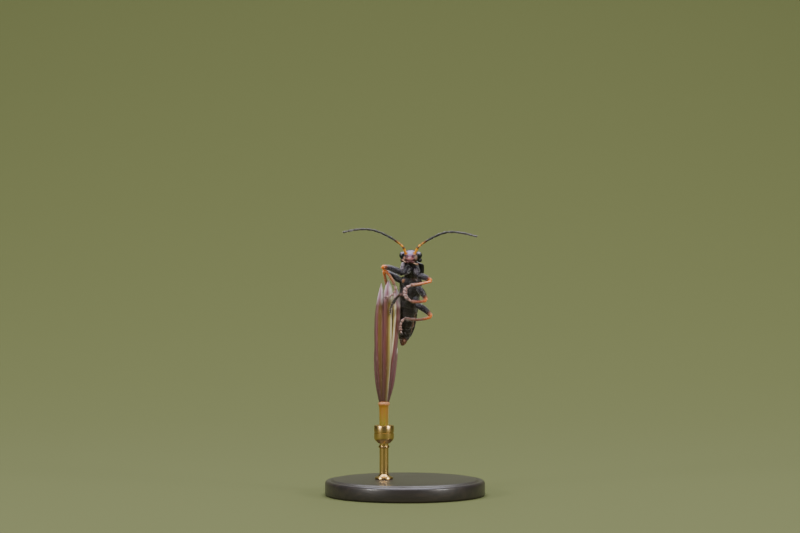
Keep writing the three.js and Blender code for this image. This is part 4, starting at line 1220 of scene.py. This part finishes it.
for name, leg in LEGS.items():
    root = TRUNK @ Vector(leg["root"])
    hip, knee, ankle, claws = [Vector(leg[place]) for place in ("hip", "knee", "ankle", "claws")]
    above, below = hip.lerp(root, RING_REACH[0]), hip.lerp(knee, RING_REACH[1])
    wide = LEG_WIDTHS
    deep = wide["thigh"] * LEG_FLAT
    thigh = join([
        lay(forms["cone"], root, hip, wide["hip"], wide["hip"], HIP_SPAN),
        lay(forms["ring"], above, below, wide["ring"], wide["ring"], HIP_SPAN),
        lay(forms["spindle"], hip.lerp(knee, THIGH_START), knee, wide["thigh"], deep, bow=leg["rise"]),
    ], f"leg_{name}_thigh")
    seat(thigh, leg_matter["thigh", leg["thigh"]], "body_black", f"leg_{name}_femur")
    shin_parts = [lay(forms["shaft"], knee, ankle, wide["shin"], wide["shin"] * LEG_FLAT, bow=leg["sag"])]
    onward = (Vector(leg["foot"][0]) - ankle).normalized()
    spread = onward.cross(TOWARDS_VIEWER).normalized()
    for side in (-1, 1):
        start = ankle.lerp(knee, SPUR_ROOT) + spread * SPURS_APART[0] * side
        point = start + onward * SPUR_LENGTH + spread * SPURS_APART[1] * side
        shin_parts.append(lay(forms["spur"], start, point, SPUR_WIDE, SPUR_WIDE, TIP_SPAN))
    shin = join(shin_parts, f"leg_{name}_shin")
    seat(shin, leg_matter["shin", leg["shin"]], "orange", f"leg_{name}_tibia")
    line = run_through([ankle, *leg["foot"]], FOOT_STEPS)
    ends = [line[round(share * FOOT_STEPS)] for share in FOOT_ENDS]
    toes = []
    for i in range(TOES):
        width = wide["foot"] + (wide["toe"] - wide["foot"]) * i / (TOES - 1)
        if i == LOBED_TOE:
            toes.append(lay(forms["lobes"], ends[i], ends[i + 1], width * LOBE_WIDER, width * TOE_FLAT))
        else:
            toes.append(lay(forms["pad"], ends[i], ends[i + 1], width, width * TOE_FLAT))
    reach = claws - ends[-1]
    spread = reach.cross(TOWARDS_VIEWER).normalized()
    for side in (-1, 1):
        start = ends[-1] + reach * CLAW_REACH[0] + spread * CLAWS_APART[0] * side
        tip = ends[-1] + reach * CLAW_REACH[1] + spread * CLAWS_APART[1] * side
        toes.append(lay(forms["hook"], start, tip, CLAW_WIDE * side, CLAW_DEEP, TIP_SPAN))
    foot = join(toes, f"leg_{name}_foot")
    face_outward(foot)
    seat(foot, leg_matter["foot", "dark" if leg["shin"] == "dark" else "pale"], "foot", f"leg_{name}_tarsus")
discard(joint, *forms.values())

# Down: short fine dusky hairs that lie towards the tail on the trunk and the wing covers, and towards
# the tip on the legs and feelers. Each is one thin spike, rooted in the chitin.
HAIR_LENGTH = 0.14
HAIR_HALF = 0.0045
HAIR_LIFT = 0.4
HAIR_SIZES = (0.6, 1.15)
HAIR_ROOT = 0.1
HAIR_BEND = 0.08
HAIR_SEED = 7
SORT_AXIS = Vector((0.31, 0.27, 0.91))
PATCH_SIZE = 0.003
DOWN = {
    "trunk": (60, (0.06, 0.042, 0.042), ["trunk_skin", "wing_cover_left", "wing_cover_right"]),
    "limbs": (105, (0.06, 0.04, 0.046), [
        *[f"leg_{name}_{part}" for name in LEGS for part in ("thigh", "shin", "foot")],
        *[f"feeler_{name}_whip" for name in FEELER_RUNS],
    ]),
}


def hair_group(hair, density):
    """Nodes that root hairs at random on a surface and lay them along its attribute lie. The faces
    are sorted by place first, so that every run roots the same hairs. Each hair's patch of the map
    OFBake is at its root's place on the surface's own map."""
    group = bpy.data.node_groups.new("down", "GeometryNodeTree")
    for way in ("INPUT", "OUTPUT"):
        group.interface.new_socket("Geometry", in_out=way, socket_type="NodeSocketGeometry")

    def named(name):
        node = wire(group, "GeometryNodeInputNamedAttribute", {"Name": name}, data_type="FLOAT_VECTOR")
        return node.outputs[0]

    def vector(operation, *inputs):
        node = wire(group, "ShaderNodeVectorMath", enumerate(inputs), operation=operation)
        return node.outputs["Value" if operation == "DOT_PRODUCT" else "Vector"]

    def scaled(source, by):
        return wire(group, "ShaderNodeVectorMath", {0: source, "Scale": by}, operation="SCALE").outputs[0]

    surface = wire(group, "NodeGroupInput").outputs[0]
    place = wire(group, "GeometryNodeInputPosition").outputs[0]
    inputs = {"Geometry": surface, "Sort Weight": vector("DOT_PRODUCT", place, SORT_AXIS)}
    ordered = wire(group, "GeometryNodeSortElements", inputs, domain="FACE").outputs[0]
    inputs = {"Mesh": ordered, "Density": density, "Seed": HAIR_SEED}
    roots = wire(group, "GeometryNodeDistributePointsOnFaces", inputs)
    heading = vector("ADD", named("lie"), scaled(roots.outputs["Normal"], HAIR_LIFT))
    turn = wire(group, "FunctionNodeAlignRotationToVector", {"Vector": heading}, axis="Z").outputs[0]
    least, most = HAIR_SIZES
    sizes = wire(group, "FunctionNodeRandomValue", {2: least, 3: most, "Seed": HAIR_SEED}, data_type="FLOAT")
    one = wire(group, "GeometryNodeObjectInfo", {"Object": hair}).outputs["Geometry"]
    inputs = {"Points": roots.outputs[0], "Instance": one, "Rotation": turn, "Scale": sizes.outputs[1]}
    planted = wire(group, "GeometryNodeInstanceOnPoints", inputs).outputs[0]
    real = wire(group, "GeometryNodeRealizeInstances", {0: planted}).outputs[0]
    patches = vector("ADD", named("OFBake"), scaled(named("blade"), PATCH_SIZE))
    inputs = {"Geometry": real, "Name": "OFBake", "Value": patches}
    kept = wire(group, "GeometryNodeStoreNamedAttribute", inputs, data_type="FLOAT2", domain="CORNER")
    wire(group, "NodeGroupOutput", {0: kept.outputs[0]})
    return group


clear()
bpy.ops.mesh.primitive_cone_add(
    vertices=3, radius1=HAIR_HALF, depth=HAIR_LENGTH, end_fill_type="NOTHING",
    location=(0, 0, HAIR_LENGTH * (0.5 - HAIR_ROOT)),
)
hair = bpy.context.object
bpy.ops.object.transform_apply()
edit_all(hair)
bpy.ops.mesh.subdivide(number_cuts=1)
move(hair, lambda place: 0.2 < place.z / HAIR_LENGTH < 0.6, (0, HAIR_LENGTH * HAIR_BEND, 0))
blade = hair.data.attributes.new("blade", "FLOAT_VECTOR", "POINT")
for kept, vertex in zip(blade.data, hair.data.vertices):
    kept.vector = (vertex.co.x / HAIR_HALF / 2, vertex.co.z / HAIR_LENGTH, 0)
hair.data.uv_layers.remove(hair.data.uv_layers[0])
for name, (density, colour, grown_on) in DOWN.items():
    fuzz = matter(f"down_{name}", colour, 0.5)
    relief(fuzz, grain(fuzz, 0.02), 0.002)
    grounds = []
    for piece_name in grown_on:
        ground = bpy.data.objects[piece_name].copy()
        ground.data = ground.data.copy()
        ground.data.materials.clear()
        bpy.context.collection.objects.link(ground)
        grounds.append(ground)
    down = join(grounds, f"down_{name}")
    down.scale = (1 / MM, 1 / MM, 1 / MM)
    bpy.ops.object.transform_apply()
    while down.data.uv_layers:
        down.data.uv_layers.remove(down.data.uv_layers[0])
    down.data.uv_layers.new(name="OFBake")
    edit_all(down)
    bpy.ops.uv.smart_project(island_margin=0.002)
    bpy.ops.object.mode_set(mode="OBJECT")
    growth = down.modifiers.new("growth", "NODES")
    growth.node_group = hair_group(hair, density)
    bpy.ops.object.modifier_apply(modifier="growth")
    seat(down, fuzz, "body_black")
discard(hair)
